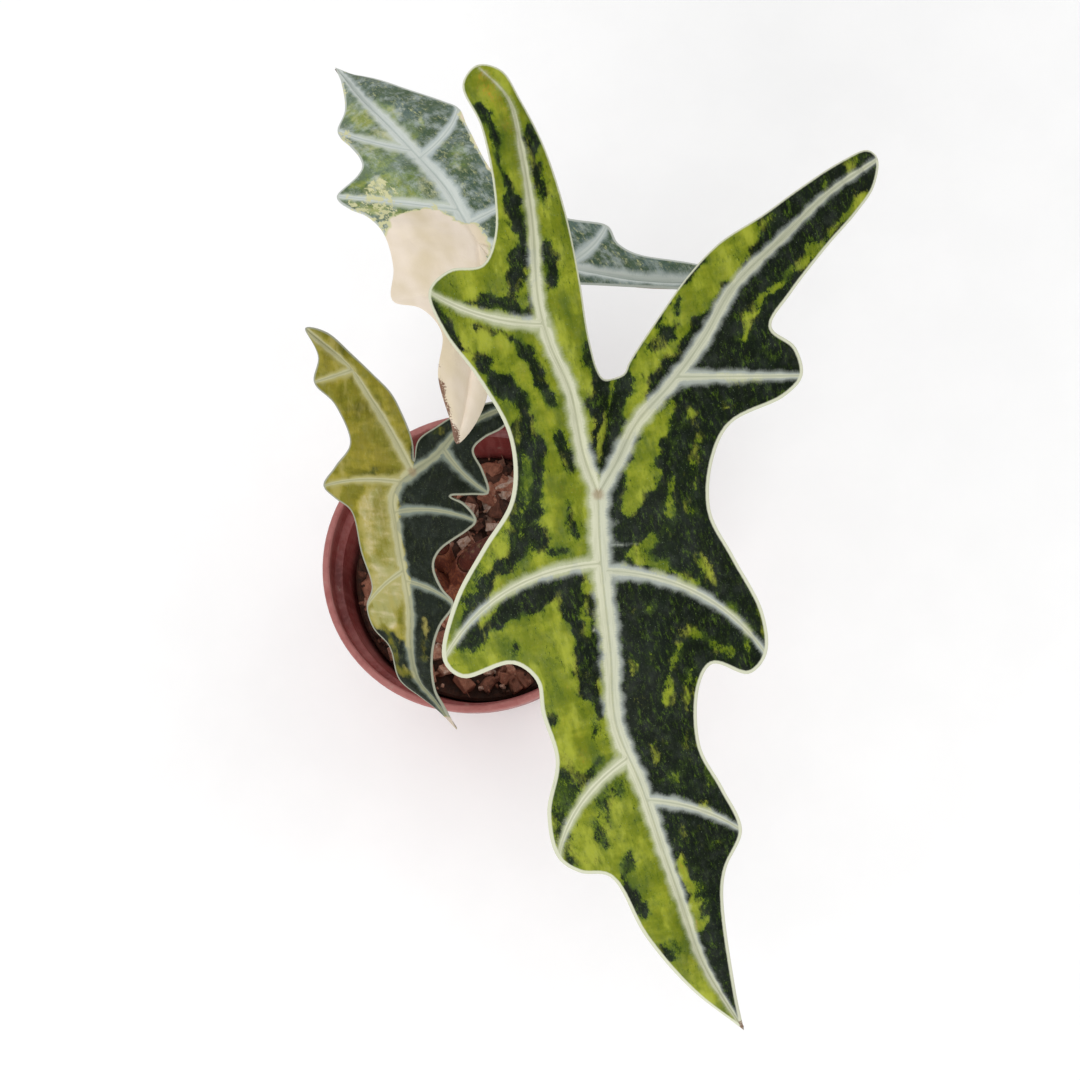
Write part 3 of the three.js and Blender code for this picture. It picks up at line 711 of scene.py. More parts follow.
# Leaf blades, their veins and colours
# Pale ribs and side veins stand in feathered pale bands, and a thin pale rim runs round the blade. The
# green tissue is variegated: lime sectors splashed with dark streaks, or dark ones splashed with lime.
# Each stroke is (tone, half width, points), in mm on the flat blade. Tone 0 is lime or cream, 1 the
# darkest green, and below 0 is yellow or tan.
STROKES_FRONT = [
    # picture-left rear lobe, outer side
    (1, 1.3, (-108, -4), (-102, -2), (-93, -1), (-82, -2), (-74, -2), (-66, -3)),
    (0.95, 2.1, (-66, -3), (-60, -6), (-54, -9)), (0.85, 1.6, (-59, -19), (-56, -12), (-51, -5)),
    (0.95, 0.9, (-67, 0), (-53, -4)), (0.2, 0.8, (-62, -3), (-55, -5)),
    # its inner side
    (0.42, 2.0, (-95, 6), (-79, 7), (-69, 5)), (0.95, 0.9, (-98, 7), (-84, 7)),
    (1, 2.0, (-66, 5), (-57, 3)), (0.6, 1.2, (-40, 8), (-31, 8), (-20, 4)),
    # suture
    (1, 2.4, (-30, 9), (-21, 5.5), (-8, 0.5)), (0.95, 1.9, (-28, 15), (-21, 11), (-7, 4)),
    (0.15, 0.5, (-29, 13), (-21, 8), (-9, 3)),
    # between the picture-left side veins
    (0.9, 0.9, (-52, -20), (-46, -12)), (0.85, 1.6, (-44, -9), (-33, -7)),
    (0.75, 1.4, (-33, -7), (-26, -5)), (0.95, 1.0, (-20, -5), (-8, -5)), (0.62, 1.6, (0, -8), (9, -8)),
    (0.8, 1.3, (12, -16), (14, -12)), (0.95, 1.2, (-60, -29), (-50, -26), (-46, -24)),
    (0.85, 1.8, (-43, -21), (-35, -17)), (1, 2.3, (-35, -17), (-30, -14), (-15, -13)),
    (1, 1.4, (-14, -14), (-7, -15), (0, -18)), (1, 2.4, (0, -18), (5, -20), (9, -18)),
    (0.55, 2.2, (-20, -17), (-4, -20)), (0.8, 1.0, (-23, -17), (-12, -20), (-3, -23)),
    (0.2, 1.3, (-32, -19), (-29, -17)), (0.6, 3, (1, -24), (6, -28)),
    (0.3, 2.6, (2, -28), (13, -38), (28, -47)), (0.95, 2.3, (9, -24), (16, -35), (28, -46)),
    (0.3, 1.6, (12, -22), (14, -26)),
    # between the picture-left midrib veins
    (1, 3.5, (21.5, -12), (21.5, -20), (25, -31)), (0.95, 2.2, (25, -31), (28, -39), (32, -46)),
    (0.9, 3.0, (26, -15), (40, -16), (52, -17)), (1, 2.0, (39, -12), (60, -15)),
    (0.35, 0.6, (31, -17), (47, -18)), (0.03, 1.1, (23, -10), (23.5, -10)),
    (0.04, 4.6, (36, -29), (34, -22), (50, -24)), (0.15, 2.2, (35, -47), (34, -35)),
    (0.55, 0.8, (34, -32), (38, -33)), (0.62, 1.3, (57, -29), (59, -28)),
    (0.55, 3.6, (69, -30), (77, -29), (86, -35)), (0.65, 1.6, (73, -19), (83, -29)),
    (0.5, 1.6, (61, -18), (67, -19)), (-0.05, 2.0, (58, -23), (70, -23)),
    # beyond the last picture-left vein
    (0.45, 2.0, (81, -16), (86, -18)), (0.5, 1.5, (102, -37), (104, -33)),
    (0.6, 1.7, (104, -19), (111, -22)), (0.02, 3.0, (99, -25), (101, -23)),
    (0.44, 4, (68, -34), (84, -36), (99, -36)), (0.42, 3, (86, -21), (104, -28)),
    (0.35, 1.3, (119, -15), (123, -14)), (0.97, 1.5, (115, -22), (125, -19)),
    (0.95, 1.1, (135, -17), (140, -16)), (0.5, 1.2, (135, -14), (139, -13)),
    # picture-right rear lobe
    (0.06, 4.6, (-57, 56), (-50, 46), (-38, 29), (-31, 21)),
    (0.75, 1.6, (-43, 34), (-33, 23), (-25, 18)), (0.23, 1.4, (-62, 78), (-63, 80)),
    (0.28, 1.6, (-66, 87), (-67, 90)), (0.38, 1.6, (-57, 61), (-58, 63)),
    (0.08, 1.1, (-58, 90), (-47, 70), (-36, 50), (-30, 48)), (0.23, 0.9, (-48, 72), (-49, 75)),
    (0.26, 0.5, (-25, 52), (-24, 55)),
    # between the picture-right side veins
    (0.1, 3.6, (-13, 18), (-4, 13), (4, 8)), (0.08, 1.8, (-2, 16), (1, 14)),
    (0.13, 1.6, (-19, 24), (-15, 21)), (0.08, 1.2, (-14, 27), (-14, 29)),
    (0.28, 0.5, (-14, 39), (-14, 43)), (0.08, 1.0, (-1, 21), (10, 17)), (0.23, 0.7, (-9, 23), (-5, 22)),
    (0.15, 2.0, (16, 10), (19, 3)), (0.23, 2.2, (19, 6), (25, 12), (30, 19)),
    (0.43, 1.6, (12, 17), (14, 15)), (0.23, 0.9, (42, 34), (49, 34)),
    # beyond the picture-right midrib vein
    (0.38, 1.5, (33, 2), (34, 6)), (0.35, 2.0, (44, 15), (52, 23)), (0.28, 1.6, (46, 10), (60, 3)),
    (0.28, 1.2, (54, 12), (64, 7)), (0.38, 0.8, (70, 7), (81, 3)), (0.35, 1.6, (82, 0), (86, 0)),
    (0.38, 1.0, (73, -3), (77, -4)), (0.26, 1.3, (46, -3), (50, -4)), (0.38, 0.9, (47, 2), (49, 1)),
    (0.28, 0.7, (72, 0), (72.5, 0)), (0.31, 1.2, (95, 5), (98, 6)),
    (-0.36, 1.1, (109, -5), (120, -4), (132, -5)), (0.33, 1.0, (113, -1), (130, -3)),
    (0.38, 1.2, (99, -3), (104, -3)), (0.38, 1.2, (108, 5), (108, 8)),
    (0.33, 1.3, (38, 26), (47, 30), (54, 28)), (0.35, 1.2, (57, 14), (72, 10), (88, 8)),
    (0.39, 1.4, (24, 22), (32, 24)), (0.38, 1.5, (-8, 30), (0, 26), (10, 23)),
    (0.38, 1.0, (-22, 40), (-18, 48)),
    # beside the suture and the midrib
    (0.12, 2.0, (-31, 22), (-24, 17.5), (-14, 11)), (0.85, 1.4, (27, -9), (38, -11)),
]
STROKES_BACK = [
    (0.42, 7, (62, 2), (52, 6)), (0.4, 7, (36, 8), (26, 10)), (0.3, 2.2, (58, -8), (47, -6)),
    (0.38, 2.4, (81, -9), (59, -9)), (0.15, 1.5, (62, -15), (57, -13)), (0.1, 2.8, (86, -1), (74, 0)),
    (0.1, 1.4, (49, 17), (42, 8)), (0.2, 2.0, (32, 8), (21, 4)), (0.2, 2.6, (18, 18), (11, 6)),
    (0.5, 3.0, (38, -16), (31, -13)), (0.35, 1.8, (46, -14), (43, -14)), (0.1, 1.6, (25, 13), (19, 9)),
    (0.0, 1.6, (45, 21), (30, 18)),
]
STROKES_LOW = [
    (0.9, 1.5, (-8, 1), (-3, 1)), (0.34, 2.4, (-40, -23), (-33, -19)),
    (0.36, 1.8, (-21, -20), (-23, -6)), (0.38, 1.8, (1, -21), (-1, -4)),
    (0.36, 1.4, (-11, -4), (-10, -2)), (0.4, 1.0, (-14, 10), (-16, 13)), (-0.3, 7, (12, -13), (40, -14)),
    (-0.5, 6, (42, -15), (55, -18)), (0.95, 9, (70, -20), (78, -17), (98, -8)),
    (0.4, 1.6, (60, -20), (70, -16), (80, -16)), (0.5, 1.2, (56, -3), (74, -6)),
]
# For each blade, the strokes are laid on its halves' tones in their order. Widths are the half widths of
# the vein bands, at lengths run in mm, and rims are widths at shares of the margin. Ragged and flecks say
# how far noise moves the tone that tissue colours, dulled how grey the veins turn on dark tissue. Clouds
# of bright and deep lie on light tissue, partly its own tone and partly painted highlight and shade, sparks
# lie on dark tissue, and a painted sheen haze of grey lies on all of it.
LOOKS = {
    "front": {
        "strokes": STROKES_FRONT + [(-0.3, 1.8, (-114, -1), (-100, 3)), (0.05, 2.4, (-94, 0), (-60, 9))],
        "cream_strokes": [],
        "dry_strokes": [(0.9, 1.6, (170, -1), (175, -1))],
        "halves": {"left": 0.98, "right": 0.02},
        "widths": {"midrib": [(0, 3.5), (55, 3.1), (110, 2.3), (150, 1.6), (176, 0.6)],
                   "left": [(0, 2.8), (60, 2.2), (118, 0.9)],
                   "right": [(0, 2.8), (60, 2.2), (95, 1.2), (119, 0.2)],
                   "side": (2.6, 1.0)},
        "feathers": [[(12, -4), (15, 3), (16, 9)], [(11, -4), (9, 1), (8, 5)], [(33, -6), (36, -11)]],
        "rims": {"left": [(0, 0.6), (0.25, 0.85), (1, 0.9)],
                 "right": [(0, 0.4), (0.25, 0.7), (0.36, 1.15), (1, 1.0)],
                 "inner": 0.35},
        "tissue": [(-0.5, (182, 134, 36)), (-0.38, (162, 142, 42)), (-0.2, (144, 149, 40)),
                   (0.15, (131, 142, 34)), (0.36, (106, 122, 24)), (0.43, (74, 95, 18)),
                   (0.47, (42, 60, 16)), (0.52, (20, 34, 13)), (0.95, (12, 23, 12)), (1.4, (13, 20, 18))],
        "ragged": 1.7, "flecks": 0.9, "sheen_haze": 0.04, "dulled": 0.25,
        "bright": (163, 170, 56), "deep": (66, 86, 22), "spark": (72, 96, 20), "cream": (226, 214, 190),
        "vein_core": (205, 206, 180), "vein_soft": (175, 180, 146), "vein_edge": (162, 169, 163),
        "groove": (154, 158, 126), "rim": (204, 206, 182),
    },
    "back": {
        "strokes": STROKES_BACK,
        "cream_strokes": [(1, 12, (13, 12), (1, 19), (-8, 24)),
                          (1, 14, (2, 11), (-13, 18), (-36, 29), (-50, 39)),
                          (0.95, 1.0, (57, -28), (40, -23), (24, -19)), (0.9, 0.5, (52, 12), (66, 9)),
                          (0.5, 5, (14, 19), (40, 13)), (0.62, 1.6, (26, 21), (48, 21)),
                          (0.5, 2.5, (58, 13), (78, 6)), (0.6, 1.2, (4, 29), (10, 25)),
                          (0.55, 1.6, (92, -2), (104, -6))],
        "dry_strokes": [(1, 1.6, (-50, 40), (-44, 38), (-33, 35)), (0.7, 0.8, (-30, 32), (-18, 27))],
        "halves": {"left": 0.66, "right": 0.95},
        "widths": {"midrib": [(0, 3.7), (60, 3.1), (124, 1.2)], "left": [(0, 2.6), (64, 1.0)],
                   "right": [(0, 3.4), (90, 2.0)], "side": (3.2, 1.3)},
        "feathers": [],
        "rims": {"left": [(0, 0.4), (1, 0.7)], "right": [(0, 0.7), (1, 0.7)], "inner": 0.5},
        # The back blade's greens are greyed and blued throughout: painted sheen laid into its tissue colours
        "tissue": [(-0.4, (216, 202, 168)), (-0.1, (190, 190, 132)), (0.2, (160, 170, 104)),
                   (0.42, (132, 150, 102)), (0.56, (112, 130, 106)), (0.72, (98, 116, 101)),
                   (1.0, (85, 105, 100)), (1.4, (73, 93, 91))],
        "ragged": 1.3, "flecks": 0.5, "sheen_haze": 0.6, "dulled": 0.1,
        "bright": (208, 206, 158), "deep": (108, 124, 102), "spark": (190, 192, 138),
        "cream": (237, 222, 205),
        "vein_core": (205, 211, 205), "vein_soft": (190, 198, 182), "vein_edge": (182, 192, 190),
        "groove": (168, 180, 174), "rim": (188, 194, 186),
    },
    "low": {
        "strokes": STROKES_LOW,
        "cream_strokes": [(1, 1.6, (102, -4), (108, -2))],
        "dry_strokes": [],
        "halves": {"left": 0.98, "right": 0.08},
        "widths": {"midrib": [(0, 2.7), (60, 2.3), (110, 0.8)], "left": [(0, 2.4), (45, 0.9)],
                   "right": [(0, 2.7), (60, 1.3)], "side": (2.4, 1.0)},
        "feathers": [],
        "rims": {"left": [(0, 0.6), (1, 0.8)], "right": [(0, 0.5), (1, 0.5)], "inner": 0.4},
        "tissue": [(-0.45, (198, 186, 146)), (-0.3, (184, 170, 114)), (-0.1, (162, 150, 70)),
                   (0.1, (146, 136, 44)), (0.32, (120, 112, 26)), (0.46, (90, 90, 28)),
                   (0.58, (50, 58, 28)), (0.72, (24, 33, 24)), (1.4, (14, 20, 17))],
        "ragged": 0.8, "flecks": 0.1, "sheen_haze": 0.08, "dulled": 0.45,
        "bright": (164, 153, 84), "deep": (118, 110, 30), "spark": (56, 64, 34), "cream": (196, 182, 170),
        "vein_core": (182, 179, 140), "vein_soft": (166, 159, 100), "vein_edge": (120, 130, 120),
        "groove": (142, 142, 108), "rim": (154, 156, 138),
    },
}
STROKE_SOFTNESS = 1.6
SHAKE_SEED = 1795638646
RIB_CORE, SIDE_CORE, FEATHER_CORE = 0.68, 0.42, 0.1
FEATHER_WIDTHS = [(0, 1.0), (12, -0.5)]
BAND_REACH = 9
TONE_LOW, TONE_SPAN = -0.5, 2.0
PUCKER = 0.45
RIM_BEAD = 0.12
# Colour multiplied in as painted shade of folds and creases
FOLD_SHADE = (186, 198, 140)
SPECK_GREY = (150, 168, 140)
JUNCTION_BROWN = (146, 122, 92)
CREAM_WARM = (222, 206, 178)
DRY_BROWN = (112, 74, 58)
UNDERSIDE_TISSUE = [(0.2, (150, 152, 96)), (0.7, (112, 122, 88)), (1.0, (92, 108, 92))]
UNDERSIDE_RIB, UNDERSIDE_FLUSH = (150, 134, 106), (126, 92, 76)


def beside(points, path):
    """Each point's distance from a path, and how far along the path it lies."""
    near, run, start = np.full(len(points), np.inf), np.zeros(len(points)), 0.0
    for a, b in zip(path, path[1:]):
        step = b - a
        length = max(float(np.linalg.norm(step)), 1e-9)
        share = np.clip((points - a) @ step / length**2, 0, 1)
        distance = np.linalg.norm(points - a - share[:, None] * step, axis=1)
        closer = distance < near
        near = np.where(closer, distance, near)
        run = np.where(closer, start + share * length, run)
        start += length
    return near, run


def vein_lines(leaf, looks, midrib, halves):
    """Every vein: its path, its band's half width along it, its core's share of that, ridge and groove."""
    depth = leaf["rib_depth"]
    wide, narrow = looks["widths"]["side"]
    veins = [(midrib[0], looks["widths"]["midrib"], RIB_CORE, depth, RIB_GROOVE)]
    for side, sign in SIDES.items():
        half = halves[side]
        veins.append((half["rib"][0], looks["widths"][side], RIB_CORE, depth, RIB_GROOVE))
        for foot_run, edge_run, bow in half["ties"][1:-1]:
            foot = along(midrib, foot_run) if foot_run > 0 else along(half["rib"], -foot_run)
            chord = along(half["outer"], edge_run) - foot
            share = np.linspace(0, 1, 14)[:, None]
            across = np.array([-chord[1], chord[0]]) * sign * bow
            path = foot + chord * share + across * 4 * share * (1 - share)
            widths = [(0, wide), (float(np.linalg.norm(chord)), narrow)]
            veins.append((path, widths, SIDE_CORE, SIDE_VEIN_DEPTH, RIB_GROOVE * SIDE_GROOVE_SHARE))
    for path in looks["feathers"]:
        veins.append((np.array(path, float), FEATHER_WIDTHS, FEATHER_CORE, 0.0, 0.0))
    return veins


def wandering(run, number, quick, slow):
    """Smooth ups and downs along a line, from -1 to 1, that differ from line to line."""
    return np.sin(run * quick + number) * np.sin(run * slow + 2 * number)


def vein_layers(flat, veins):
    """For each point, its place in the widest band round it, and the ridge and groove that it gets."""
    inside = np.full(len(flat), -np.inf)
    near, run, share, heart, ridge, groove = np.zeros((6, len(flat)))
    for number, (path, widths, core, depth, sunk) in enumerate(veins):
        distance, length = beside(flat, path)
        width = np.interp(length, *zip(*widths)) * (1 + 0.16 * wandering(length, number, 0.9, 0.37))
        of_width = distance / np.maximum(width, 0.4)
        nearer = width - distance > inside
        inside = np.where(nearer, width - distance, inside)
        near = np.where(nearer, distance, near)
        run = np.where(nearer, length + 40 * number, run)
        share = np.where(nearer, of_width, share)
        heart = np.where(nearer, of_width / core, heart)
        taper = np.interp(length, [0, widths[-1][0]], [1, 0.15])
        bulge = np.clip(1 - (distance / (1.0 + 1.6 * taper)) ** 2, 0, 1) ** 2
        ridge = np.maximum(ridge, depth * taper * bulge)
        groove = np.maximum(groove, sunk * (0.4 + 0.6 * taper) * np.exp(-((distance / 0.7) ** 2)))
    share, heart = np.minimum(share, BAND_REACH), np.minimum(heart, BAND_REACH)
    return {"inside": inside, "near": near, "run": run, "share": share, "heart": heart}, ridge, groove


def rim_layers(flat, halves, rims):
    """Each point's distance from the margin, and the pale rim's width there."""
    rim, rim_width = np.full(len(flat), np.inf), np.zeros(len(flat))
    for side in SIDES:
        inner = [(0, rims["inner"]), (1, rims["inner"])]
        for edge, widths in ((halves[side]["outer"], rims[side]), (halves[side]["inner"], inner)):
            distance, length = beside(flat, edge[0][::2])
            nearer = distance < rim
            rim = np.where(nearer, distance, rim)
            rim_width = np.where(nearer, np.interp(length / edge[1][-1], *zip(*widths)), rim_width)
    return rim, rim_width


def covered(points, strokes):
    """How far each stroke covers each point, from 0 to 1, with soft sides and a wandering width."""
    for number, (strength, width, *path) in enumerate(strokes):
        distance, run = beside(points, np.array(path, float))
        width = width + min(0.5 * width, 1.1) * (wandering(run, number, 0.7, 0.29) - 0.2)
        cover = np.clip((width - distance) / (2 * STROKE_SOFTNESS) + 0.5, 0, 1)
        yield strength, cover * cover * (3 - 2 * cover)


def shaken(points):
    """The points moved about by smooth noise, the same in each run, to give strokes wandering sides."""
    noise.seed_set(SHAKE_SEED)
    shifts = [noise.noise_vector(Vector((x * 0.12, y * 0.16, 7))) * 2.0
              + noise.noise_vector(Vector((x * 0.45, y * 0.5, 12))) for x, y in points]
    return points + np.array(shifts)[:, :2]


def colour_layers(flat, half, looks):
    """How dark, how creamy and how dry each point is."""
    loose = shaken(flat)
    tone = np.where(half > 0, looks["halves"]["left"], looks["halves"]["right"])
    for strength, cover in covered(loose, looks["strokes"]):
        tone = tone + (strength - tone) * cover
    layers = {"tone": tone}
    for name, points in (("cream", loose), ("dry", flat)):
        covers = [strength * cover for strength, cover in covered(points, looks[name + "_strokes"])]
        layers[name] = np.max([0 * tone, *covers], axis=0)
    return layers


def stored(items, field, width):
    """The numbers that the items of a mesh hold, a row for each item."""
    numbers = np.empty((len(items), width))
    items.foreach_get(field, numbers.reshape(-1))
    return numbers


def dress_blade(blade, leaf, looks, midrib, halves):
    """Sinks the veins, works out colours and widths on the flat blade, and gives it its thickness."""
    mesh = blade.data
    flat = stored(mesh.attributes["flat"].data, "vector", 3)[:, :2]
    half = stored(mesh.attributes["half"].data, "value", 1)[:, 0]
    layers, ridge, groove = vein_layers(flat, vein_lines(leaf, looks, midrib, halves))
    rim, rim_width = rim_layers(flat, halves, looks["rims"])

    places = stored(mesh.vertices, "co", 3)
    pucker = np.array([noise.noise(Vector((x * 0.13, y * 0.13, 3)))
                       + 0.4 * noise.noise(Vector((x * 0.4, y * 0.4, 9))) for x, y in flat])
    calm = np.clip(-layers["inside"] / 3, 0, 1) * np.clip(rim / 4, 0, 1)
    places[:, 2] += PUCKER * pucker * calm - groove + RIM_BEAD * np.exp(-((rim / 0.8) ** 2))
    mesh.vertices.foreach_set("co", places.reshape(-1))
    set_numbers(mesh, rim=rim_width - rim, **layers, **colour_layers(flat, half, looks))

    eased = np.clip(rim / 3, 0, 1)
    thickness = EDGE_THICKNESS + (BLADE_THICKNESS - EDGE_THICKNESS) * eased + ridge * np.clip(rim / 1.5, 0, 1)
    most = float(thickness.max())
    group = blade.vertex_groups.new(name="thickness")
    for index, share in enumerate(thickness / most):
        group.add([index], float(share), "REPLACE")
    apply_modifier(
        blade, "SOLIDIFY", thickness=most, offset=-1, vertex_group="thickness",
        material_offset=1, material_offset_rim=0,
    )
    blade.vertex_groups.clear()
    place = Matrix.Translation(Vector(leaf["at"]) * MM)
    mesh.transform(place @ leaf_turn(leaf).to_4x4() @ Matrix.Scale(MM, 4))
    bpy.ops.object.shade_smooth()


def spots(flat, x_scale, y_scale, detail, roughness):
    """Mottle on the flat blade, drawn out along an axis where that axis has the lower scale."""
    return mottle(stretched(flat, (x_scale, y_scale, 1)), 1, detail, roughness)


def blade_finish(name, looks):
    """Upper face: tissue, then veins, rim and cream sectors, each with a ragged border."""
    finish = new_finish(name, 0.09)
    flat = reading(finish, "flat", "Vector")
    inside, near, run = (reading(finish, layer) for layer in ("inside", "near", "run"))
    blotch = spots(flat, 0.13, 0.24, 3, 0.6)
    ragged = spots(flat, 0.75, 1.3, 8, 0.84)
    tone = ragged * looks["ragged"] + (blotch * 0.9 + reading(finish, "tone"))
    flecks = between(spots(flat, 0.45, 1.0, 8, 0.85), 0.52, 0.62)
    gathered = between(spots(flat, 0.06, 0.1, 2, 0.5), 0.42, 0.6, 0.1, 0.5)
    tone = tone + flecks * gathered * looks["flecks"] - (0.45 + looks["ragged"] / 2 + TONE_LOW)
    dark = between(tone, 0.55 - TONE_LOW, 0.85 - TONE_LOW)
    stops = [((place - TONE_LOW) / TONE_SPAN, colour) for place, colour in looks["tissue"]]
    colour = graded(tone * (1 / TONE_SPAN), stops)
    shade = spots(flat, 0.05, 0.09, 2, 0.5)
    # Painted shade: noise creases darken the tissue as if shaded in folds
    fold_shade = shade * 0.8 + spots(flat, 0.34, 0.13, 3, 0.5) * 0.6
    colour = blend(between(fold_shade, 0.52, 0.8, 0.0, 0.85), colour, FOLD_SHADE, "MULTIPLY")
    # Bright and deep clouds on light tissue: partly its own tone, partly painted highlight and shade
    tone_and_light_clouds = spots(flat, 0.055, 0.13, 4, 0.6)
    light = 1.0 - dark
    colour = blend(between(tone_and_light_clouds, 0.5, 0.68, 0.0, 0.75) * light, colour, looks["bright"])
    colour = blend(between(tone_and_light_clouds, 0.34, 0.5, 0.65, 0.0) * light, colour, looks["deep"])
    sparks = between(spots(flat, 0.35, 0.9, 8, 0.85), 0.5, 0.62)
    sparks = sparks * between(blotch, 0.4, 0.62, 0.12, 0.9)
    colour = blend(sparks * dark, colour, looks["spark"])
    specks = mottle(flat, 2.2, 2, 0.6)
    colour = laid(colour, SPECK_GREY, specks, 0.64, 0.76, 0.0, 0.35)
    # Painted sheen: a grey haze of the vein edge colour over the tissue, strongest on the back blade
    sheen_haze = spots(flat, 0.16, 0.22, 7, 0.75)
    colour = laid(colour, looks["vein_edge"], sheen_haze, 0.45, 0.68, 0.0, looks["sheen_haze"])

    feather = mottle(put("CombineXYZ", {0: run * 2.2, 1: near * 0.6}), 1, 3, 0.75)
    frayed = (feather - 0.5) * 0.7
    share = frayed + reading(finish, "share")
    band = feather * 1.8 + (inside - 0.9)
    band = mottle(flat, 0.35, 2, 0.5) * 1.6 + (band - 0.8)
    band = between(band, -0.8, 0.8) * between(share, 0.5, 1.0, 1.0, 0.55)
    heart = between(frayed + reading(finish, "heart"), 0.6, 1.2)
    vein = blend(heart, looks["vein_core"], blend(dark, looks["vein_soft"], looks["vein_edge"]))
    lines = mottle(put("CombineXYZ", {0: run * 0.1, 1: near * 2.4}), 1, 3, 0.6)
    vein = laid(vein, looks["groove"], lines, 0.45, 0.7, 0.0, 0.35)
    vein = laid(vein, looks["groove"], near, 0.12, 0.4, 0.55, 0.0)
    vein = blend(dark * looks["dulled"], vein, looks["vein_edge"])
    colour = blend(band, colour, vein)
    from_junction = put("VectorMath", {0: flat}, "Value", operation="LENGTH")
    colour = laid(colour, JUNCTION_BROWN, ragged * 3.0 + from_junction, 2.2, 3.6, 0.6, 0.0)

    rim = ragged * 0.5 + (reading(finish, "rim") - 0.25)
    colour = laid(colour, looks["rim"], rim, -0.25, 0.2)
    cream = reading(finish, "cream")
    creamy = spots(flat, 0.4, 0.65, 4, 0.65) * 2.0 + (cream - 1.0)
    sector = blend(between(shade, 0.35, 0.65), looks["cream"], CREAM_WARM)
    sector = blend(between(cream, 0.6, 0.9), looks["bright"], sector)
    colour = laid(colour, sector, creamy, 0.42, 0.58, 0.0, 0.94)
    dry = specks * 1.6 + (reading(finish, "dry") - 0.8)
    colour = laid(colour, DRY_BROWN, dry, 0.62, 0.85, 0.0, 0.9)
    relief = lines * between(band, 0, 1, 0.0, 0.5) + ragged
    return finished(finish, colour, between(ragged, 0.3, 0.7, 0.38, 0.55), relief, 0.1)


def underside_finish(name):
    """Lower face: duller and paler, with the ribs standing proud and flushed brown."""
    finish = new_finish(name + "_underside", 0.25)
    ragged = spots(reading(finish, "flat", "Vector"), 0.6, 0.9, 4, 0.7)
    colour = graded(ragged * 0.7 + reading(finish, "tone"), UNDERSIDE_TISSUE)
    rib = blend(between(ragged, 0.4, 0.6), UNDERSIDE_RIB, UNDERSIDE_FLUSH)
    colour = laid(colour, rib, reading(finish, "inside"), -0.4, 0.6)
    return finished(finish, colour, between(ragged, 0.3, 0.7, 0.5, 0.7), ragged, 0.15)


for name, leaf in LEAVES.items():
    looks = LOOKS[name]
    midrib, halves = blade_lines(leaf)
    blade = blade_sheet("leaf_blade_" + name, leaf, midrib, halves)
    coat(blade, blade_finish("blade_" + name, looks), underside_finish("blade_" + name))
    dress_blade(blade, leaf, looks, midrib, halves)
    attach(blade, "root")
    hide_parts("blade_" + name)

# Petioles
# The long round leaf stalks, mottled green-brown with fine dark bars. Each rises from inside its sheath,
# arches over and widens a little where it carries the blade's junction.
PETIOLES = {
    "front": {"through": [(13, -2, 111), (33, -6, 166), (45, -20, 230)], "radius": 2.4},
    "back": {"through": [(-2, 16, 116), (9, 23, 147), (27, 31, 215)], "radius": 2.1},
    "low": {"through": [(-18, 3, 118), (-13, 6, 150)], "radius": 1.8},
}
PETIOLE_STEPS = 12
END_STRAIGHT = 5
INSIDE_SHEATH = 12
SHEATH_PLAY = 0.1
SEAT_IN_RIDGE = 0.8
SLIM_FROM = 0.45
FLARE_LENGTH = 9
FLARE_SCALE = 1.3
BROWN_BELOW, GREEN_ABOVE = 100, 210
PETIOLE_GREEN = (118, 112, 72)
PETIOLE_BROWN = (92, 44, 34)
PETIOLE_BAR = (52, 28, 25)
PETIOLE_PALE = (168, 150, 108)


def petiole_finish():
    finish = new_finish("petiole", 0.35)
    spot = spot_on(finish)
    bars = mottle(stretched(spot, (1, 1, 2.4)), 260, 4, 0.7)
    streaks = mottle(stretched(spot, (1, 1, 0.12)), 700, 3, 0.6)
    greener = between(height_of(spot), BROWN_BELOW * MM, GREEN_ABOVE * MM)
    colour = blend(greener, PETIOLE_BROWN, PETIOLE_GREEN)
    colour = laid(colour, PETIOLE_BAR, bars, 0.5, 0.62, 0.0, 0.75)
    colour = laid(colour, PETIOLE_PALE, streaks, 0.5, 0.75, 0.0, 0.4)
    return finished(finish, colour, between(bars, 0.35, 0.65, 0.38, 0.6), streaks, 0.15)


stalk_finish = petiole_finish()
for name, shape in PETIOLES.items():
    leaf, wrap, slim = LEAVES[name], SHEATHS[name], shape["radius"]
    foot, mouth = np.array(SHEATH_START, float), np.array(wrap["end"], float)
    axis = (mouth - foot) / np.linalg.norm(mouth - foot)
    normal = np.array(leaf_turn(leaf) @ Vector((0, 0, 1)))
    seat = np.array(leaf["at"]) - normal * (BLADE_THICKNESS + leaf["rib_depth"] * SEAT_IN_RIDGE)
    knots = [mouth, mouth + axis * END_STRAIGHT, *shape["through"], seat - normal * END_STRAIGHT, seat]
    hidden = [mouth - axis * INSIDE_SHEATH, mouth - axis * INSIDE_SHEATH / 2]
    path = np.vstack([*hidden, rounded(knots, PETIOLE_STEPS)])
    run = run_along(path)
    thick = wrap["radius"] - SHEATH_WALL - SHEATH_PLAY
    places = [0, INSIDE_SHEATH, run[-1] * SLIM_FROM, run[-1] - FLARE_LENGTH, run[-1]]
    radii = np.interp(run, places, [thick, thick, (thick + slim) / 2, slim, slim * FLARE_SCALE])
    petiole = stalk("petiole_stalk_" + name, path, radii)
    coat(petiole, stalk_finish)
    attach(petiole, "root")
    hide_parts("petiole_" + name)

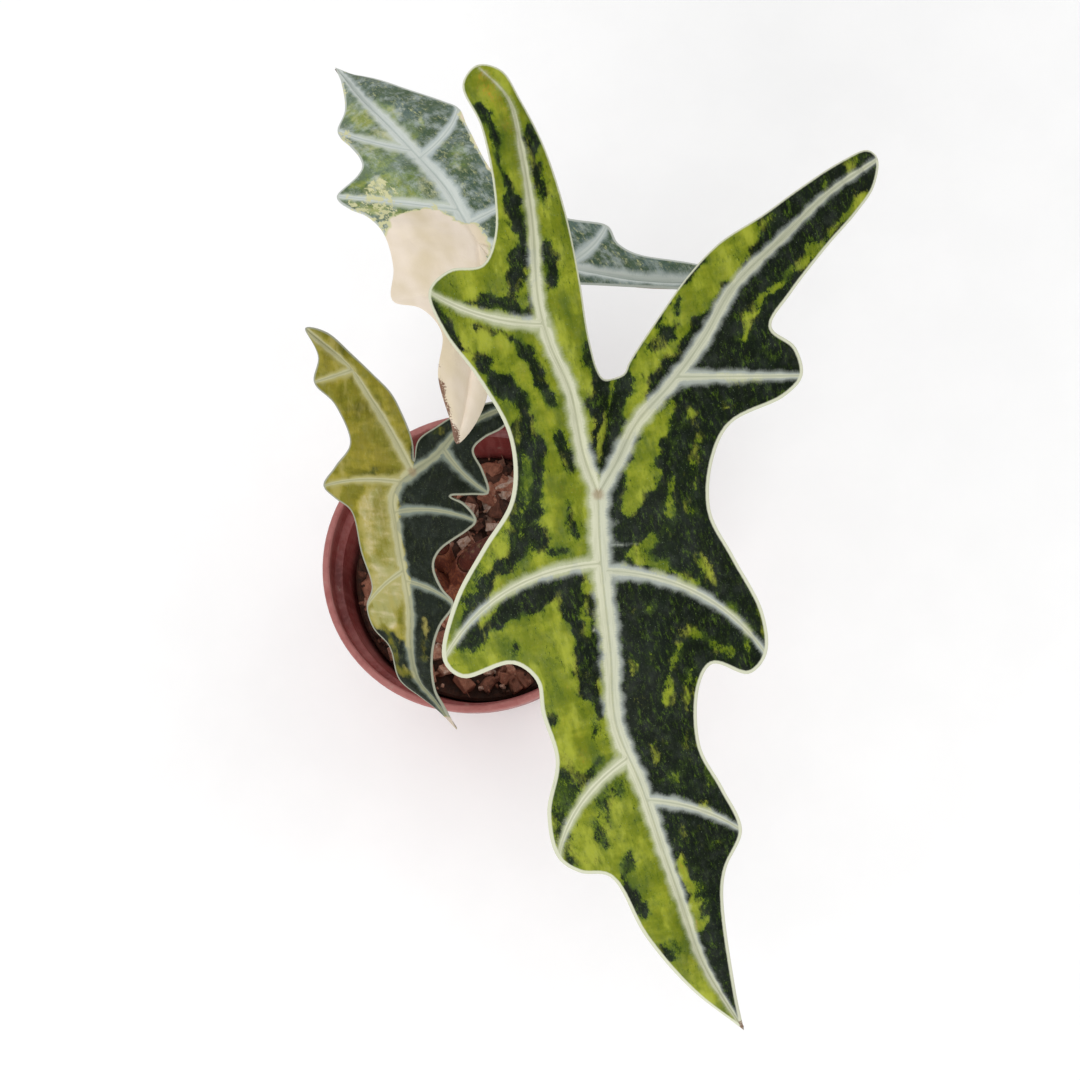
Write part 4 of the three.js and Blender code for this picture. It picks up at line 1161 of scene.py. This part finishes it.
# Floor, light and camera
# A plain pale floor under soft light from large panels, seen from above and in front as in the photo.
# The floor lies a little below the pot, and the panels are given by place, size in metres and watts.
FLOOR_SIZE = 6
FLOOR_DROP = 0.2
FLOOR_WHITES = (251, 251, 251), (253, 253, 253)
PANELS = [
    ("key_panel", (-0.75, -0.95, 1.15), 0.9, 11.5),
    ("side_panel", (1.2, 0.1, 1.0), 1.2, 3),
    ("back_panel", (-0.2, 1.2, 1.0), 1.2, 4),
]
PANEL_TARGET = Vector((0.02, -0.02, 0.18))
SKY_STRENGTH = 0.68
CAMERA_AT = (26.1, -213.4, 743.2)
CAMERA_RIGHT = (0.93969, -0.32528, -0.10569)
CAMERA_UP = (0.34202, 0.89370, 0.29038)
CAMERA_LENS = 59.2
CAMERA_SENSOR = 36

bpy.ops.object.select_all(action="DESELECT")
bpy.ops.mesh.primitive_plane_add(size=FLOOR_SIZE, location=(0, 0, -FLOOR_DROP * MM))
floor = bpy.context.object
floor.name = "floor"
bpy.ops.object.transform_apply(location=True)
paper = new_finish("floor_paper", 0.1)
whites = laid(*FLOOR_WHITES, mottle(spot_on(paper), 30, 3), 0.3, 0.7)
shader = paper.node_tree.nodes["Principled BSDF"]
shader.inputs["Roughness"].default_value = 0.9
paper.node_tree.links.new(whites.socket, shader.inputs["Base Color"])
coat(floor, paper)

for name, spot, size, power in PANELS:
    panel = bpy.data.lights.new(name, "AREA")
    panel.shape = "SQUARE"
    panel.size = size
    panel.energy = power
    holder = bpy.data.objects.new(name, panel)
    holder.location = spot
    holder.rotation_euler = (PANEL_TARGET - Vector(spot)).to_track_quat("-Z", "Y").to_euler()
    bpy.context.collection.objects.link(holder)

world = bpy.data.worlds.new("studio")
bpy.context.scene.world = world
world.use_nodes = True
world.node_tree.nodes["Background"].inputs["Color"].default_value = (1, 1, 1, 1)
world.node_tree.nodes["Background"].inputs["Strength"].default_value = SKY_STRENGTH
bpy.context.scene.view_settings.view_transform = "Standard"

lens = bpy.data.cameras.new("camera")
lens.lens = CAMERA_LENS
lens.sensor_width = CAMERA_SENSOR
camera = bpy.data.objects.new("camera", lens)
right, up = Vector(CAMERA_RIGHT), Vector(CAMERA_UP)
axes = Matrix((right, up, right.cross(up))).transposed()
camera.matrix_world = Matrix.Translation(Vector(CAMERA_AT) * MM) @ axes.to_4x4()
bpy.context.collection.objects.link(camera)
bpy.context.scene.camera = camera
